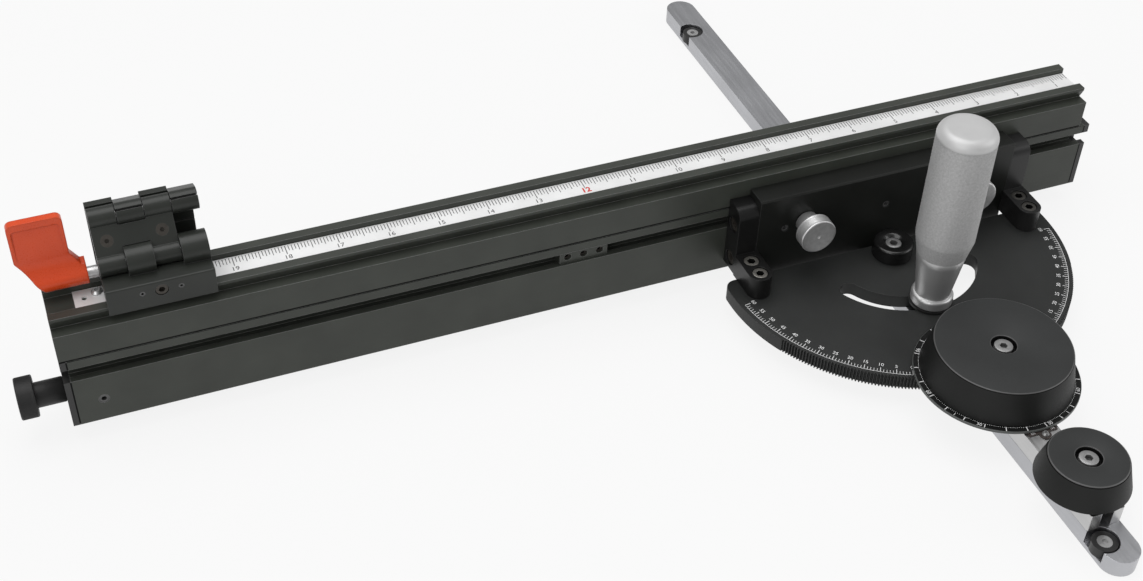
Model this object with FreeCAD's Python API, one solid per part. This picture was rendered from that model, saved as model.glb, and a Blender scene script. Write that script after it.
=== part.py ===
import FreeCAD, Part
import math
import os

# A saw's miter gauge: a guide bar with a swivelling protractor head, a rim gear and pinion for fine
# angle setting, a telescoping fence with a rule, and a flip stop that slides on the fence.
# Millimetres. +X runs along the fence, +Y is the feed direction (away from the operator), +Z is up.
# The origin is on the swivel axis, in the plane of the bar's underside.

Vector = FreeCAD.Vector
X_AXIS = Vector(1, 0, 0)
Y_AXIS = Vector(0, 1, 0)
Z_AXIS = Vector(0, 0, 1)

# Clearances
RUNNING_GAP = 0.1
SLIDE_GAP = 0.25
SHAFT_GAP = 0.06
HINGE_GAP = 0.3

# Guide bar
BAR_WIDTH = 18.2
BAR_THICKNESS = 9.5
BAR_BACK = 281.0
BAR_END_MARGIN = 15.4
POCKET_GAP = 1.6
POCKET_SHIFT = 1.4
POCKET_DEPTH = 7.0
FRONT_POCKET_GAP = 6.6
BACK_POCKET_SETBACK = 35.4
GLIDE_RADIUS = 6.2
GLIDE_HEIGHT = 5.4
GLIDE_PROUD = 0.7
GLIDE_SCREW_RADIUS = 2.0
GLIDE_SCREW_HEAD = 3.6

# Swivel
BUSHING_FLANGE_RADIUS = 10.7
BUSHING_FLANGE_HEIGHT = 8.6
BUSHING_NECK_RADIUS = 5.0
PIVOT_SCREW_RADIUS = 2.5
PIVOT_HEAD_RADIUS = 4.2
PIVOT_HEAD_HEIGHT = 4.6
PIVOT_SCREW_GRIP = 7.0

# Protractor plate and its rim gear
PLATE_THICKNESS = 7.5
PLATE_BACK_Y = 8.8
PLATE_CORNER_RADIUS = 6.0
RIM_PITCH_RADIUS = 95.0
RIM_TEETH = 360
RIM_TOOTHED_ANGLE = 64.5
PRESSURE_ANGLE = 20.0
BACKLASH = 0.14
SLOT_END_ANGLE = 62.0
SLOT_HALF_WIDTH = 5.4

# Clamp handle
HANDLE_RIM_INSET = 54.8
HANDLE_WASHER_RADIUS = 11.6
HANDLE_WASHER_HEIGHT = 1.3
HANDLE_STUD_RADIUS = 4.0
HANDLE_STUD_GRIP = 7.5
HANDLE_STUD_RISE = 30.0
HANDLE_RING_RADIUS = 10.9
HANDLE_RING_HEIGHT = 5.6
HANDLE_WAIST_RADIUS = 9.1
HANDLE_SEAM_RADIUS = 12.8
HANDLE_SEAM_HEIGHT = 32.4
HANDLE_GRIP_RADIUS = 15.0
HANDLE_GRIP_START = 42.0
HANDLE_LENGTH = 109.0
HANDLE_CROWN = 7.0

# Micro-adjust block, pinion and wheel
PINION_TEETH = 24
PINION_CLEARANCE = 0.4
BLOCK_HEIGHT = 9.8
BLOCK_OVERHANG = 21.1
BLOCK_BACK_GAP = 0.6
BLOCK_FLOOR = 1.2
BLOCK_SLOT_WIDTH = 6.4
BLOCK_SLOT_MARGIN = 5.0
BLOCK_TRAVEL = 3.0
GUIDE_PIN_RADIUS = 2.0
GUIDE_PIN_RISE = 4.0
GUIDE_PIN_GRIP = 5.0
GUIDE_PIN_SETBACK = 29.0
SPINDLE_LOWER_RADIUS = 2.5
SPINDLE_UPPER_RADIUS = 3.5
SPINDLE_COLLAR_RADIUS = 6.0
SPINDLE_COLLAR_HEIGHT = 0.9
DIAL_RADIUS = 40.9
DIAL_THICKNESS = 1.6
WHEEL_BASE_RADIUS = 37.8
WHEEL_TOP_RADIUS = 33.9
WHEEL_HEIGHT = 18.2
WHEEL_EDGE_RADIUS = 1.4
WHEEL_WALL = 4.0
WHEEL_HUB_RADIUS = 10.0
COUNTERBORE_RADIUS = 6.3
COUNTERBORE_DEPTH = 3.2
BUTTON_HEAD_RADIUS = 4.6
BUTTON_HEAD_HEIGHT = 2.6
BUTTON_SHANK_RADIUS = 2.5
WHEEL_SCREW_GRIP = 9.0
POINTER_HALF_WIDTH = 7.6
POINTER_LENGTH = 12.0
POINTER_THICKNESS = 0.7
POINTER_TAB_RADIUS = 2.9
POINTER_SCREW_RADIUS = 1.8
POINTER_SCREW_HEIGHT = 1.3
POINTER_SCREW_SHANK = 1.0
POINTER_SCREW_GRIP = 5.0

# Lock knob
LOCK_SETBACK = 72.6
LOCK_BASE_RADIUS = 22.6
LOCK_TOP_RADIUS = 19.0
LOCK_HEIGHT = 14.2
LOCK_WASHER_RADIUS = 8.0
LOCK_WASHER_HEIGHT = 1.0
LOCK_SHANK_RADIUS = 3.0
LOCK_SCREW_GRIP = 7.0

# Fence: common depth of both extrusions
FENCE_FRONT_Y = 25.7
FENCE_DEPTH = 33.5
FENCE_WALL = 3.0
RAIL_OVERHANG = 131.6
RAIL_LENGTH = 555.0
RAIL_BOTTOM_Z = 10.7
RAIL_HEIGHT = 41.4
RAIL_EDGE_RADIUS = 1.2
CAP_THICKNESS = 3.2
CAP_PLUG_LENGTH = 20.0
CAP_PLUG_GAP = 0.1
T_SLOT_CENTRE = 32.5
T_SLOT_OPENING = 7.6
T_SLOT_INSIDE = 13.4
T_SLOT_LIP = 3.5
T_SLOT_DEPTH = 9.3
KEEL_NECK_HALF = 3.7
KEEL_HALF = 5.7
KEEL_LIP = 3.0
KEEL_THICKNESS = 3.8

# Fence extension with its stop rails and rule
EXTENSION_SEAM = 0.6
EXTENSION_BODY_HEIGHT = 15.5
RAIL_TIP_INSET = 4.35
RAIL_WAIST_INSET = 6.6
RAIL_TOP_HEIGHT = 22.3
RAIL_TIP_THICKNESS = 1.6
RULE_CHANNEL_HALF = 7.6
RULE_CHANNEL_DEPTH = 3.6
RULE_THICKNESS = 0.8
RULE_SIDE_GAP = 0.3
RULE_LEFT_INSET = 12.9
RULE_RIGHT_INSET = 0.5
RULE_HOLE_INSET = 4.7
RULE_HOLE_RADIUS = 1.2
RULE_SCREW_INSET = 10.8
RULE_SCREW_OFFSET = 3.6
RULE_SCREW_HEAD = 2.7
RULE_SCREW_HEIGHT = 1.7
RULE_SCREW_SHANK = 1.2
RULE_SCREW_GRIP = 3.5

# End thumbscrew
THUMB_END_Y = 38.8
THUMB_END_Z = 24.4
THUMB_END_HEAD_RADIUS = 10.3
THUMB_END_HEAD_LENGTH = 8.4
THUMB_END_NECK_RADIUS = 6.2
THUMB_END_NECK_LENGTH = 13.4
THUMB_END_SHANK_RADIUS = 3.5
THUMB_END_SHANK_LENGTH = 16.0
CAP_SCREW_SETBACK = 13.0
CAP_SCREW_RADIUS = 2.5
CAP_SCREW_LENGTH = 7.0

# Slot stop in the front T-slot
SLOT_STOP_LEFT_X = -180.5
SLOT_STOP_LENGTH = 25.8
SLOT_STOP_RECESS = 1.4
SLOT_STOP_SIDE_GAP = 0.2
SLOT_STOP_PITCH = 8.7
SLOT_SCREW_RADIUS = 2.0

# Carrier plate and its brackets
CARRIER_RIM_INSET = 19.0
CARRIER_THICKNESS = 12.7
CARRIER_BOTTOM_Z = 11.2
CARRIER_TOP_Z = 61.8
CARRIER_CHAMFER = 0.8
CARRIER_SCREW_INSET = 15.7
CARRIER_SCREW_Z = 41.0
CARRIER_SCREW_RADIUS = 2.0
CARRIER_SCREW_LENGTH = 9.0
BRACKET_WIDTH = 11.5
BRACKET_TOP_Z = 57.9
BRACKET_ROLL_RADIUS = 6.0
FOOT_HALF_WIDTH = 6.4
FOOT_SETOUT = 5.5
FOOT_TIP_CENTRE_Y = -3.4
FOOT_HEIGHT = 13.0
FOOT_SCREW_PITCH = 10.2
FOOT_HEAD_RADIUS = 4.0
FOOT_HEAD_HEIGHT = 4.4
FOOT_HEAD_RECESS = 4.8
FOOT_SCREW_RADIUS = 2.5
FOOT_SCREW_GRIP = 6.0
END_SCREW_HEAD_RADIUS = 4.0
END_SCREW_HEAD_HEIGHT = 4.2
END_SCREW_HEAD_DEPTH = 5.0
END_SCREW_RADIUS = 2.5
END_SCREW_GRIP = 12.0
END_SCREW_LOW_Z = 24.0
END_SCREW_HIGH_Z = 46.0

# Fence clamping thumbscrews
THUMB_INSET = 27.6
THUMB_HEAD_RADIUS = 9.9
THUMB_HEAD_LENGTH = 7.2
THUMB_NECK_RADIUS = 6.0
THUMB_NECK_LENGTH = 7.6
THUMB_SHANK_RADIUS = 3.0
THUMB_SHANK_TAIL = 0.8
SLOT_NUT_HALF_LENGTH = 12.0
SLOT_NUT_GAP = 0.25

# Flip stop
STOP_INSET = 23.3
KNUCKLE_LENGTH = 12.45
KNUCKLE_COUNT = 4
KNUCKLE_GAP = 0.3
STOP_FRONT_INSET = 2.0
STOP_HOOK_DROP = 3.2
STOP_BODY_HEIGHT = 10.4
STOP_BODY_BACK = 27.6
STOP_EDGE_RADIUS = 0.8
JAW_GAP = 0.1
JAW_HOOK_WALL = 2.2
LOWER_HINGE_RISE = 14.2
UPPER_HINGE_BACK = 12.6
UPPER_HINGE_RISE = 18.1
BLOCK_KNUCKLE_RADIUS = 7.6
LINK_KNUCKLE_RADIUS = 5.0
LINK_THICKNESS = 5.6
HINGE_PIN_RADIUS = 2.0
ARM_KNUCKLE_RADIUS = 5.3
ARM_THICKNESS = 3.4
ARM_FENCE_GAP = 1.1
ARM_TAB_RISE = 3.5
ARM_TOP_RISE = 1.8
ARM_LIP_DROP = 3.6
ARM_BOTTOM_Z = 15.0
ARM_BLADE_INSET = 2.0
ARM_CORNER_RADIUS = 3.0
ARM_GROOVE_DROP = 16.0
ARM_GROOVE_WIDTH = 1.0
ARM_GROOVE_DEPTH = 0.5
ARM_SLIT_WIDTH = 1.1
ARM_SLIT_ANGLE = 55.0
STOP_SCREW_HEIGHT = 5.2
STOP_SCREW_HEAD_RADIUS = 2.9
STOP_SCREW_HEAD_LENGTH = 3.4
STOP_SCREW_RECESS = 3.8
STOP_SCREW_RADIUS = 1.6
STOP_PIN_PITCH = 17.7
STOP_PIN_RADIUS = 1.3
STOP_PIN_LENGTH = 6.0
LINK_SCREW_HEAD = 2.9
LINK_SCREW_RADIUS = 1.4

# Stop clamping lever
LEVER_AXIS_BACK = 6.6
LEVER_AXIS_DROP = 7.2
LEVER_SHAFT_RADIUS = 3.0
LEVER_SHAFT_REACH = 17.5
LEVER_GAP = 4.8
LEVER_HUB_RADIUS = 4.7
LEVER_HUB_LENGTH = 18.6
LEVER_SHOULDER_RISE = 6.6
LEVER_SOCKET_DEPTH = 12.0
PADDLE_WIDTH = 24.4
PADDLE_OFFSET = 6.0
PADDLE_TOP_RISE = 35.6
PADDLE_ELBOW_RISE = 12.8
PADDLE_THICKNESS = 4.0
PADDLE_TROUGH_RADIUS = 12.0
PADDLE_LEAN = 1.6
PADDLE_CORNER_RADIUS = 3.0
PANEL_SIDE_RIM = 1.8
PANEL_TOP_RIM = 4.0
PANEL_CORNER_RADIUS = 1.5
PANEL_TILT = 2.4

# Derived places
PLATE_BOTTOM_Z = BAR_THICKNESS + RUNNING_GAP
PLATE_TOP_Z = PLATE_BOTTOM_Z + PLATE_THICKNESS
MODULE = 2.0 * RIM_PITCH_RADIUS / RIM_TEETH
RIM_RADIUS = RIM_PITCH_RADIUS + MODULE
HANDLE_Y = HANDLE_RIM_INSET - RIM_PITCH_RADIUS
PINION_PITCH_RADIUS = MODULE * PINION_TEETH / 2.0
PINION_Y = -(RIM_PITCH_RADIUS + PINION_PITCH_RADIUS)
BLOCK_BOTTOM_Z = BAR_THICKNESS + RUNNING_GAP / 2.0
BLOCK_TOP_Z = BLOCK_BOTTOM_Z + BLOCK_HEIGHT
BLOCK_BACK_Y = -(RIM_RADIUS + BLOCK_BACK_GAP)
LOCK_Y = PINION_Y - LOCK_SETBACK
BLOCK_FRONT_Y = LOCK_Y - BLOCK_OVERHANG
POCKET_FRONT_Y = BLOCK_FRONT_Y - FRONT_POCKET_GAP
POCKET_BACK_Y = BAR_BACK - BACK_POCKET_SETBACK
BAR_FRONT = BAR_END_MARGIN - POCKET_FRONT_Y
PINION_TOP_Z = PLATE_TOP_Z
DIAL_BOTTOM_Z = BLOCK_TOP_Z + RUNNING_GAP + SPINDLE_COLLAR_HEIGHT
WHEEL_BOTTOM_Z = DIAL_BOTTOM_Z + DIAL_THICKNESS
WHEEL_TOP_Z = WHEEL_BOTTOM_Z + WHEEL_HEIGHT
LOCK_BOTTOM_Z = BLOCK_TOP_Z + RUNNING_GAP + LOCK_WASHER_HEIGHT
LOCK_TOP_Z = LOCK_BOTTOM_Z + LOCK_HEIGHT
POINTER_SCREW_Y = PINION_Y - DIAL_RADIUS - POINTER_SCREW_RADIUS - RUNNING_GAP * 3.0
FENCE_BACK_Y = FENCE_FRONT_Y + FENCE_DEPTH
FENCE_MID_Y = FENCE_FRONT_Y + FENCE_DEPTH / 2.0
RAIL_TOP_Z = RAIL_BOTTOM_Z + RAIL_HEIGHT
RAIL_RIGHT_X = RAIL_OVERHANG
RAIL_LEFT_X = RAIL_RIGHT_X - RAIL_LENGTH
T_SLOT_Z = RAIL_BOTTOM_Z + T_SLOT_CENTRE
EXTENSION_BOTTOM_Z = RAIL_TOP_Z + EXTENSION_SEAM
EXTENSION_LEFT_X = RAIL_LEFT_X - CAP_THICKNESS
EXTENSION_RIGHT_X = EXTENSION_LEFT_X + RAIL_LENGTH
SHOULDER_Z = EXTENSION_BOTTOM_Z + EXTENSION_BODY_HEIGHT
STOP_RAIL_TOP_Z = EXTENSION_BOTTOM_Z + RAIL_TOP_HEIGHT
STOP_RAIL_TIP_Z = STOP_RAIL_TOP_Z - RAIL_TIP_THICKNESS
RULE_BOTTOM_Z = STOP_RAIL_TOP_Z - RULE_CHANNEL_DEPTH
RULE_TOP_Z = RULE_BOTTOM_Z + RULE_THICKNESS
CARRIER_BACK_Y = FENCE_FRONT_Y - RUNNING_GAP
CARRIER_FRONT_Y = CARRIER_BACK_Y - CARRIER_THICKNESS
CARRIER_HALF_LENGTH = RIM_PITCH_RADIUS - CARRIER_RIM_INSET
CARRIER_SCREW_PITCH = CARRIER_HALF_LENGTH - CARRIER_SCREW_INSET
FOOT_CENTRE_X = CARRIER_HALF_LENGTH + FOOT_SETOUT
THUMB_X = CARRIER_HALF_LENGTH - THUMB_INSET
STOP_LEFT_X = RAIL_LEFT_X + STOP_INSET
STOP_RIGHT_X = STOP_LEFT_X + KNUCKLE_LENGTH * KNUCKLE_COUNT
STOP_MID_X = (STOP_LEFT_X + STOP_RIGHT_X) / 2.0
STOP_FRONT_Y = FENCE_FRONT_Y + STOP_FRONT_INSET
STOP_BASE_Z = STOP_RAIL_TOP_Z + SLIDE_GAP
STOP_TOP_Z = STOP_BASE_Z + STOP_BODY_HEIGHT
STOP_BACK_Y = FENCE_FRONT_Y + STOP_BODY_BACK
LOWER_HINGE_Z = STOP_RAIL_TOP_Z + LOWER_HINGE_RISE
UPPER_HINGE_Y = FENCE_MID_Y + UPPER_HINGE_BACK
UPPER_HINGE_Z = LOWER_HINGE_Z + UPPER_HINGE_RISE
ARM_FRONT_Y = FENCE_BACK_Y + ARM_FENCE_GAP
LEVER_Y = FENCE_MID_Y + LEVER_AXIS_BACK
LEVER_Z = LOWER_HINGE_Z - LEVER_AXIS_DROP
LEVER_RIGHT_X = STOP_LEFT_X - LEVER_GAP


# Solids from simple sections

def box(x0, x1, y0, y1, z0, z1):
    return Part.makeBox(x1 - x0, y1 - y0, z1 - z0, Vector(x0, y0, z0))


def rod_x(y, z, x0, x1, radius):
    return Part.makeCylinder(radius, x1 - x0, Vector(x0, y, z), X_AXIS)


def rod_y(x, z, y0, y1, radius):
    return Part.makeCylinder(radius, y1 - y0, Vector(x, y0, z), Y_AXIS)


def rod_z(x, y, z0, z1, radius):
    return Part.makeCylinder(radius, z1 - z0, Vector(x, y, z0), Z_AXIS)


def face_of(points):
    return Part.Face(Part.makePolygon(points + [points[0]]))


def section_along_x(points, x0, x1):
    # Closed (y, z) outline pushed along X.
    face = face_of([Vector(x0, y, z) for y, z in points])
    return face.extrude(Vector(x1 - x0, 0, 0))


def outline_along_y(points, y0, y1):
    # Closed (x, z) outline pushed along Y.
    face = face_of([Vector(x, y0, z) for x, z in points])
    return face.extrude(Vector(0, y1 - y0, 0))


def outline_up(points, z0, z1):
    # Closed (x, y) outline pushed up.
    face = face_of([Vector(x, y, z0) for x, y in points])
    return face.extrude(Vector(0, 0, z1 - z0))


def turned(profile, x, y):
    # Closed (radius, z) profile turned about the vertical axis through x, y.
    face = face_of([Vector(r, 0, z) for r, z in profile])
    solid = face.revolve(Vector(0, 0, 0), Z_AXIS, 360)
    solid.translate(Vector(x, y, 0))
    return solid


def aimed(solid, place, direction):
    # Moves a solid made on the Z axis so that +Z points along direction.
    turn = FreeCAD.Rotation(Z_AXIS, direction)
    solid.Placement = FreeCAD.Placement(place, turn)
    return solid


def fused(solids):
    result = solids[0]
    for solid in solids[1:]:
        result = result.fuse(solid)
    return result.removeSplitter()


def cut_all(solid, tools):
    for tool in tools:
        solid = solid.cut(tool)
    return solid


def hexagon_prism(radius, z0, z1):
    points = []
    for corner in range(6):
        angle = math.radians(60.0 * corner)
        points.append((radius * math.cos(angle), radius * math.sin(angle)))
    return outline_up(points, z0, z1)


def edges_along(solid, direction, test):
    # Straight edges parallel to a direction whose middle point passes the test.
    found = []
    for edge in solid.Edges:
        if edge.Curve.TypeId != "Part::GeomLine":
            continue
        if abs(abs(edge.tangentAt(edge.FirstParameter).dot(direction)) - 1.0) > 1e-6:
            continue
        if test(edge.CenterOfMass):
            found.append(edge)
    return found


def save(name, solids):
    shape = solids[0] if len(solids) == 1 else Part.makeCompound(solids)
    if not shape.isValid():
        raise ValueError(name + " isn't a valid shape")
    shape.exportStep(os.path.join("parts", name + ".step"))


# Fasteners, made head up on the Z axis with the underside of the head at zero

def socket_cap_screw(head_radius, head_height, shank_radius, length):
    head = Part.makeCylinder(head_radius, head_height)
    shank = Part.makeCylinder(shank_radius, length, Vector(0, 0, -length))
    recess = hexagon_prism(head_radius * 0.55, head_height * 0.45, head_height)
    return head.fuse(shank).removeSplitter().cut(recess)


def button_screw(head_radius, head_height, shank_radius, length):
    crown = turned([(0, 0), (head_radius, 0), (head_radius, head_height * 0.3),
                    (head_radius * 0.62, head_height), (0, head_height)], 0, 0)
    shank = Part.makeCylinder(shank_radius, length, Vector(0, 0, -length))
    recess = hexagon_prism(head_radius * 0.4, head_height * 0.4, head_height)
    return crown.fuse(shank).removeSplitter().cut(recess)


def countersunk_blank(head_radius, shank_radius, length):
    # Flush head without its socket: the flat top is at zero.
    depth = head_radius - shank_radius
    return turned([(0, -length), (shank_radius, -length), (shank_radius, -depth),
                   (head_radius, 0), (0, 0)], 0, 0)


def socketed(blank, head_radius, shank_radius):
    return blank.cut(hexagon_prism(shank_radius * 0.8, shank_radius - head_radius, 0))


def set_screw(radius, length):
    # Socket end at zero, point downward.
    body = Part.makeCylinder(radius, length, Vector(0, 0, -length))
    return body.cut(hexagon_prism(radius * 0.55, -length * 0.4, 0))


# Guide bar

def obround_bar():
    half = BAR_WIDTH / 2.0
    front = half - BAR_FRONT
    back = BAR_BACK - half
    middle = box(-half, half, front, back, 0, BAR_THICKNESS)
    ends = [rod_z(0, front, 0, BAR_THICKNESS, half), rod_z(0, back, 0, BAR_THICKNESS, half)]
    return fused([middle] + ends)


def glide_x():
    return GLIDE_RADIUS - BAR_WIDTH / 2.0 - GLIDE_PROUD


def glide_floor_z():
    return BAR_THICKNESS - POCKET_DEPTH


def miter_bar():
    bar = obround_bar()
    tools = []
    for y in (POCKET_FRONT_Y, POCKET_BACK_Y):
        tools.append(rod_z(glide_x() - POCKET_SHIFT, y, glide_floor_z(), BAR_THICKNESS,
                           GLIDE_RADIUS + POCKET_GAP))
        tools.append(rod_z(glide_x(), y, 0, BAR_THICKNESS, GLIDE_SCREW_RADIUS))
    tools.append(rod_z(0, 0, BAR_THICKNESS - PIVOT_SCREW_GRIP, BAR_THICKNESS, PIVOT_SCREW_RADIUS))
    tools.append(rod_z(0, HANDLE_Y, BAR_THICKNESS - HANDLE_STUD_GRIP - SHAFT_GAP, BAR_THICKNESS,
                       HANDLE_STUD_RADIUS + SHAFT_GAP))
    tools.append(rod_z(0, LOCK_Y, BAR_THICKNESS - LOCK_SCREW_GRIP - SHAFT_GAP, BAR_THICKNESS,
                       LOCK_SHANK_RADIUS + SHAFT_GAP))
    tools.append(rod_z(0, guide_pin_y(), BAR_THICKNESS - GUIDE_PIN_GRIP, BAR_THICKNESS, GUIDE_PIN_RADIUS))
    return cut_all(bar, tools)


def glide_discs():
    discs = []
    for y in (POCKET_FRONT_Y, POCKET_BACK_Y):
        top = glide_floor_z() + GLIDE_HEIGHT
        disc = rod_z(glide_x(), y, glide_floor_z(), top, GLIDE_RADIUS)
        hole = countersunk_blank(GLIDE_SCREW_HEAD, GLIDE_SCREW_RADIUS, GLIDE_HEIGHT)
        discs.append(disc.cut(aimed(hole, Vector(glide_x(), y, top), Z_AXIS)))
    return discs


def glide_screws():
    top = glide_floor_z() + GLIDE_HEIGHT
    screws = []
    for y in (POCKET_FRONT_Y, POCKET_BACK_Y):
        blank = countersunk_blank(GLIDE_SCREW_HEAD, GLIDE_SCREW_RADIUS, top - RUNNING_GAP)
        screw = socketed(blank, GLIDE_SCREW_HEAD, GLIDE_SCREW_RADIUS)
        screws.append(aimed(screw, Vector(glide_x(), y, top), Z_AXIS))
    return screws


def guide_pin_y():
    return PINION_Y - GUIDE_PIN_SETBACK


def guide_pin():
    z0 = BAR_THICKNESS - GUIDE_PIN_GRIP
    return rod_z(0, guide_pin_y(), z0, BAR_THICKNESS + GUIDE_PIN_RISE, GUIDE_PIN_RADIUS)


# Swivel and protractor plate

def pivot_bushing():
    neck_top = PLATE_TOP_Z + RUNNING_GAP
    flange_top = neck_top + BUSHING_FLANGE_HEIGHT
    chamfer = 0.8
    solid = turned([(PIVOT_SCREW_RADIUS, BAR_THICKNESS), (BUSHING_NECK_RADIUS, BAR_THICKNESS),
                    (BUSHING_NECK_RADIUS, neck_top), (BUSHING_FLANGE_RADIUS, neck_top),
                    (BUSHING_FLANGE_RADIUS, flange_top - chamfer),
                    (BUSHING_FLANGE_RADIUS - chamfer, flange_top),
                    (PIVOT_HEAD_RADIUS + 1.0, flange_top),
                    (PIVOT_HEAD_RADIUS + RUNNING_GAP, flange_top - 1.0),
                    (PIVOT_HEAD_RADIUS + RUNNING_GAP, pivot_seat_z()),
                    (PIVOT_SCREW_RADIUS, pivot_seat_z())], 0, 0)
    return solid


def pivot_seat_z():
    return PLATE_TOP_Z + RUNNING_GAP + BUSHING_FLANGE_HEIGHT - PIVOT_HEAD_HEIGHT - 1.2


def pivot_screw():
    length = pivot_seat_z() - BAR_THICKNESS + PIVOT_SCREW_GRIP
    screw = socket_cap_screw(PIVOT_HEAD_RADIUS, PIVOT_HEAD_HEIGHT, PIVOT_SCREW_RADIUS, length)
    return aimed(screw, Vector(0, 0, pivot_seat_z()), Z_AXIS)


def at_angle(radius, degrees_from_front):
    # Point at a radius and an angle counted from the -Y direction towards +X.
    angle = math.radians(degrees_from_front)
    return (radius * math.sin(angle), -radius * math.cos(angle))


def rim_tooth(centre):
    # Four corners of one rim tooth, from its left root to its right root.
    slope = math.tan(math.radians(PRESSURE_ANGLE))
    half = (math.pi * MODULE - BACKLASH) / 4.0
    root = RIM_PITCH_RADIUS - 1.25 * MODULE
    root_half = math.degrees((half + 1.25 * MODULE * slope) / root)
    tip_half = math.degrees((half - MODULE * slope) / RIM_RADIUS)
    return [at_angle(root, centre - root_half), at_angle(RIM_RADIUS, centre - tip_half),
            at_angle(RIM_RADIUS, centre + tip_half), at_angle(root, centre + root_half)]


def plate_outline():
    # Toothed front stretch, smooth sides and a straight back edge, as one wire.
    pitch = 360.0 / RIM_TEETH
    last = int(RIM_TOOTHED_ANGLE / pitch)
    teeth = []
    for index in range(-last, last + 1):
        teeth.extend(rim_tooth(index * pitch))
    first = Vector(teeth[0][0], teeth[0][1], PLATE_BOTTOM_Z)
    points = [Vector(x, y, PLATE_BOTTOM_Z) for x, y in teeth]
    back_half = math.sqrt(RIM_RADIUS ** 2 - PLATE_BACK_Y ** 2)
    back_right = Vector(back_half, PLATE_BACK_Y, PLATE_BOTTOM_Z)
    back_left = Vector(-back_half, PLATE_BACK_Y, PLATE_BOTTOM_Z)
    edge_angle = last * pitch + pitch * 0.75
    side_right = Vector(*at_angle(RIM_RADIUS, edge_angle), PLATE_BOTTOM_Z)
    side_left = Vector(*at_angle(RIM_RADIUS, -edge_angle), PLATE_BOTTOM_Z)
    middle_angle = (edge_angle + 90.0) / 2.0
    arc_right = Part.Arc(side_right, Vector(*at_angle(RIM_RADIUS, middle_angle), PLATE_BOTTOM_Z), back_right)
    arc_left = Part.Arc(back_left, Vector(*at_angle(RIM_RADIUS, -middle_angle), PLATE_BOTTOM_Z), side_left)
    edges = []
    for start, end in zip(points, points[1:]):
        edges.append(Part.makeLine(start, end))
    edges.append(Part.makeLine(points[-1], side_right))
    edges.append(arc_right.toShape())
    edges.append(Part.makeLine(back_right, back_left))
    edges.append(arc_left.toShape())
    edges.append(Part.makeLine(side_left, first))
    return Part.Wire(edges)


def arc_slot(radius, half_width, end_angle, z0, z1):
    # Ring sector with round ends about the swivel axis.
    outer = rod_z(0, 0, z0, z1, radius + half_width)
    ring = outer.cut(rod_z(0, 0, z0, z1, radius - half_width))
    reach = 4.0 * radius
    wedge = outline_up([(0, 0), at_angle(reach, -end_angle), at_angle(reach, 0),
                        at_angle(reach, end_angle)], z0, z1)
    ends = []
    for sign in (-1, 1):
        x, y = at_angle(radius, sign * end_angle)
        ends.append(rod_z(x, y, z0, z1, half_width))
    return fused([ring.common(wedge)] + ends)


def protractor_plate():
    plate = Part.Face(plate_outline()).extrude(Vector(0, 0, PLATE_THICKNESS))
    corners = edges_along(plate, Z_AXIS, lambda p: abs(p.y - PLATE_BACK_Y) < 0.01)
    plate = plate.makeFillet(PLATE_CORNER_RADIUS, corners)
    tools = [rod_z(0, 0, PLATE_BOTTOM_Z, PLATE_TOP_Z, BUSHING_NECK_RADIUS + SHAFT_GAP)]
    tools.append(arc_slot(-HANDLE_Y, SLOT_HALF_WIDTH, SLOT_END_ANGLE, PLATE_BOTTOM_Z, PLATE_TOP_Z))
    for x, y in foot_screw_places():
        tools.append(rod_z(x, y, PLATE_TOP_Z - FOOT_SCREW_GRIP, PLATE_TOP_Z, FOOT_SCREW_RADIUS))
    return cut_all(plate, tools)


# Clamp handle

def handle_base_z():
    return PLATE_TOP_Z + RUNNING_GAP + HANDLE_WASHER_HEIGHT


def handle_washer():
    z0 = PLATE_TOP_Z + RUNNING_GAP
    washer = rod_z(0, HANDLE_Y, z0, handle_base_z(), HANDLE_WASHER_RADIUS)
    return washer.cut(rod_z(0, HANDLE_Y, z0, handle_base_z(), HANDLE_STUD_RADIUS))


def handle_stud():
    z0 = BAR_THICKNESS - HANDLE_STUD_GRIP
    return rod_z(0, HANDLE_Y, z0, handle_base_z() + HANDLE_STUD_RISE, HANDLE_STUD_RADIUS)


def handle_point(radius, height):
    return Vector(radius, 0, handle_base_z() + height)


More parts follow.
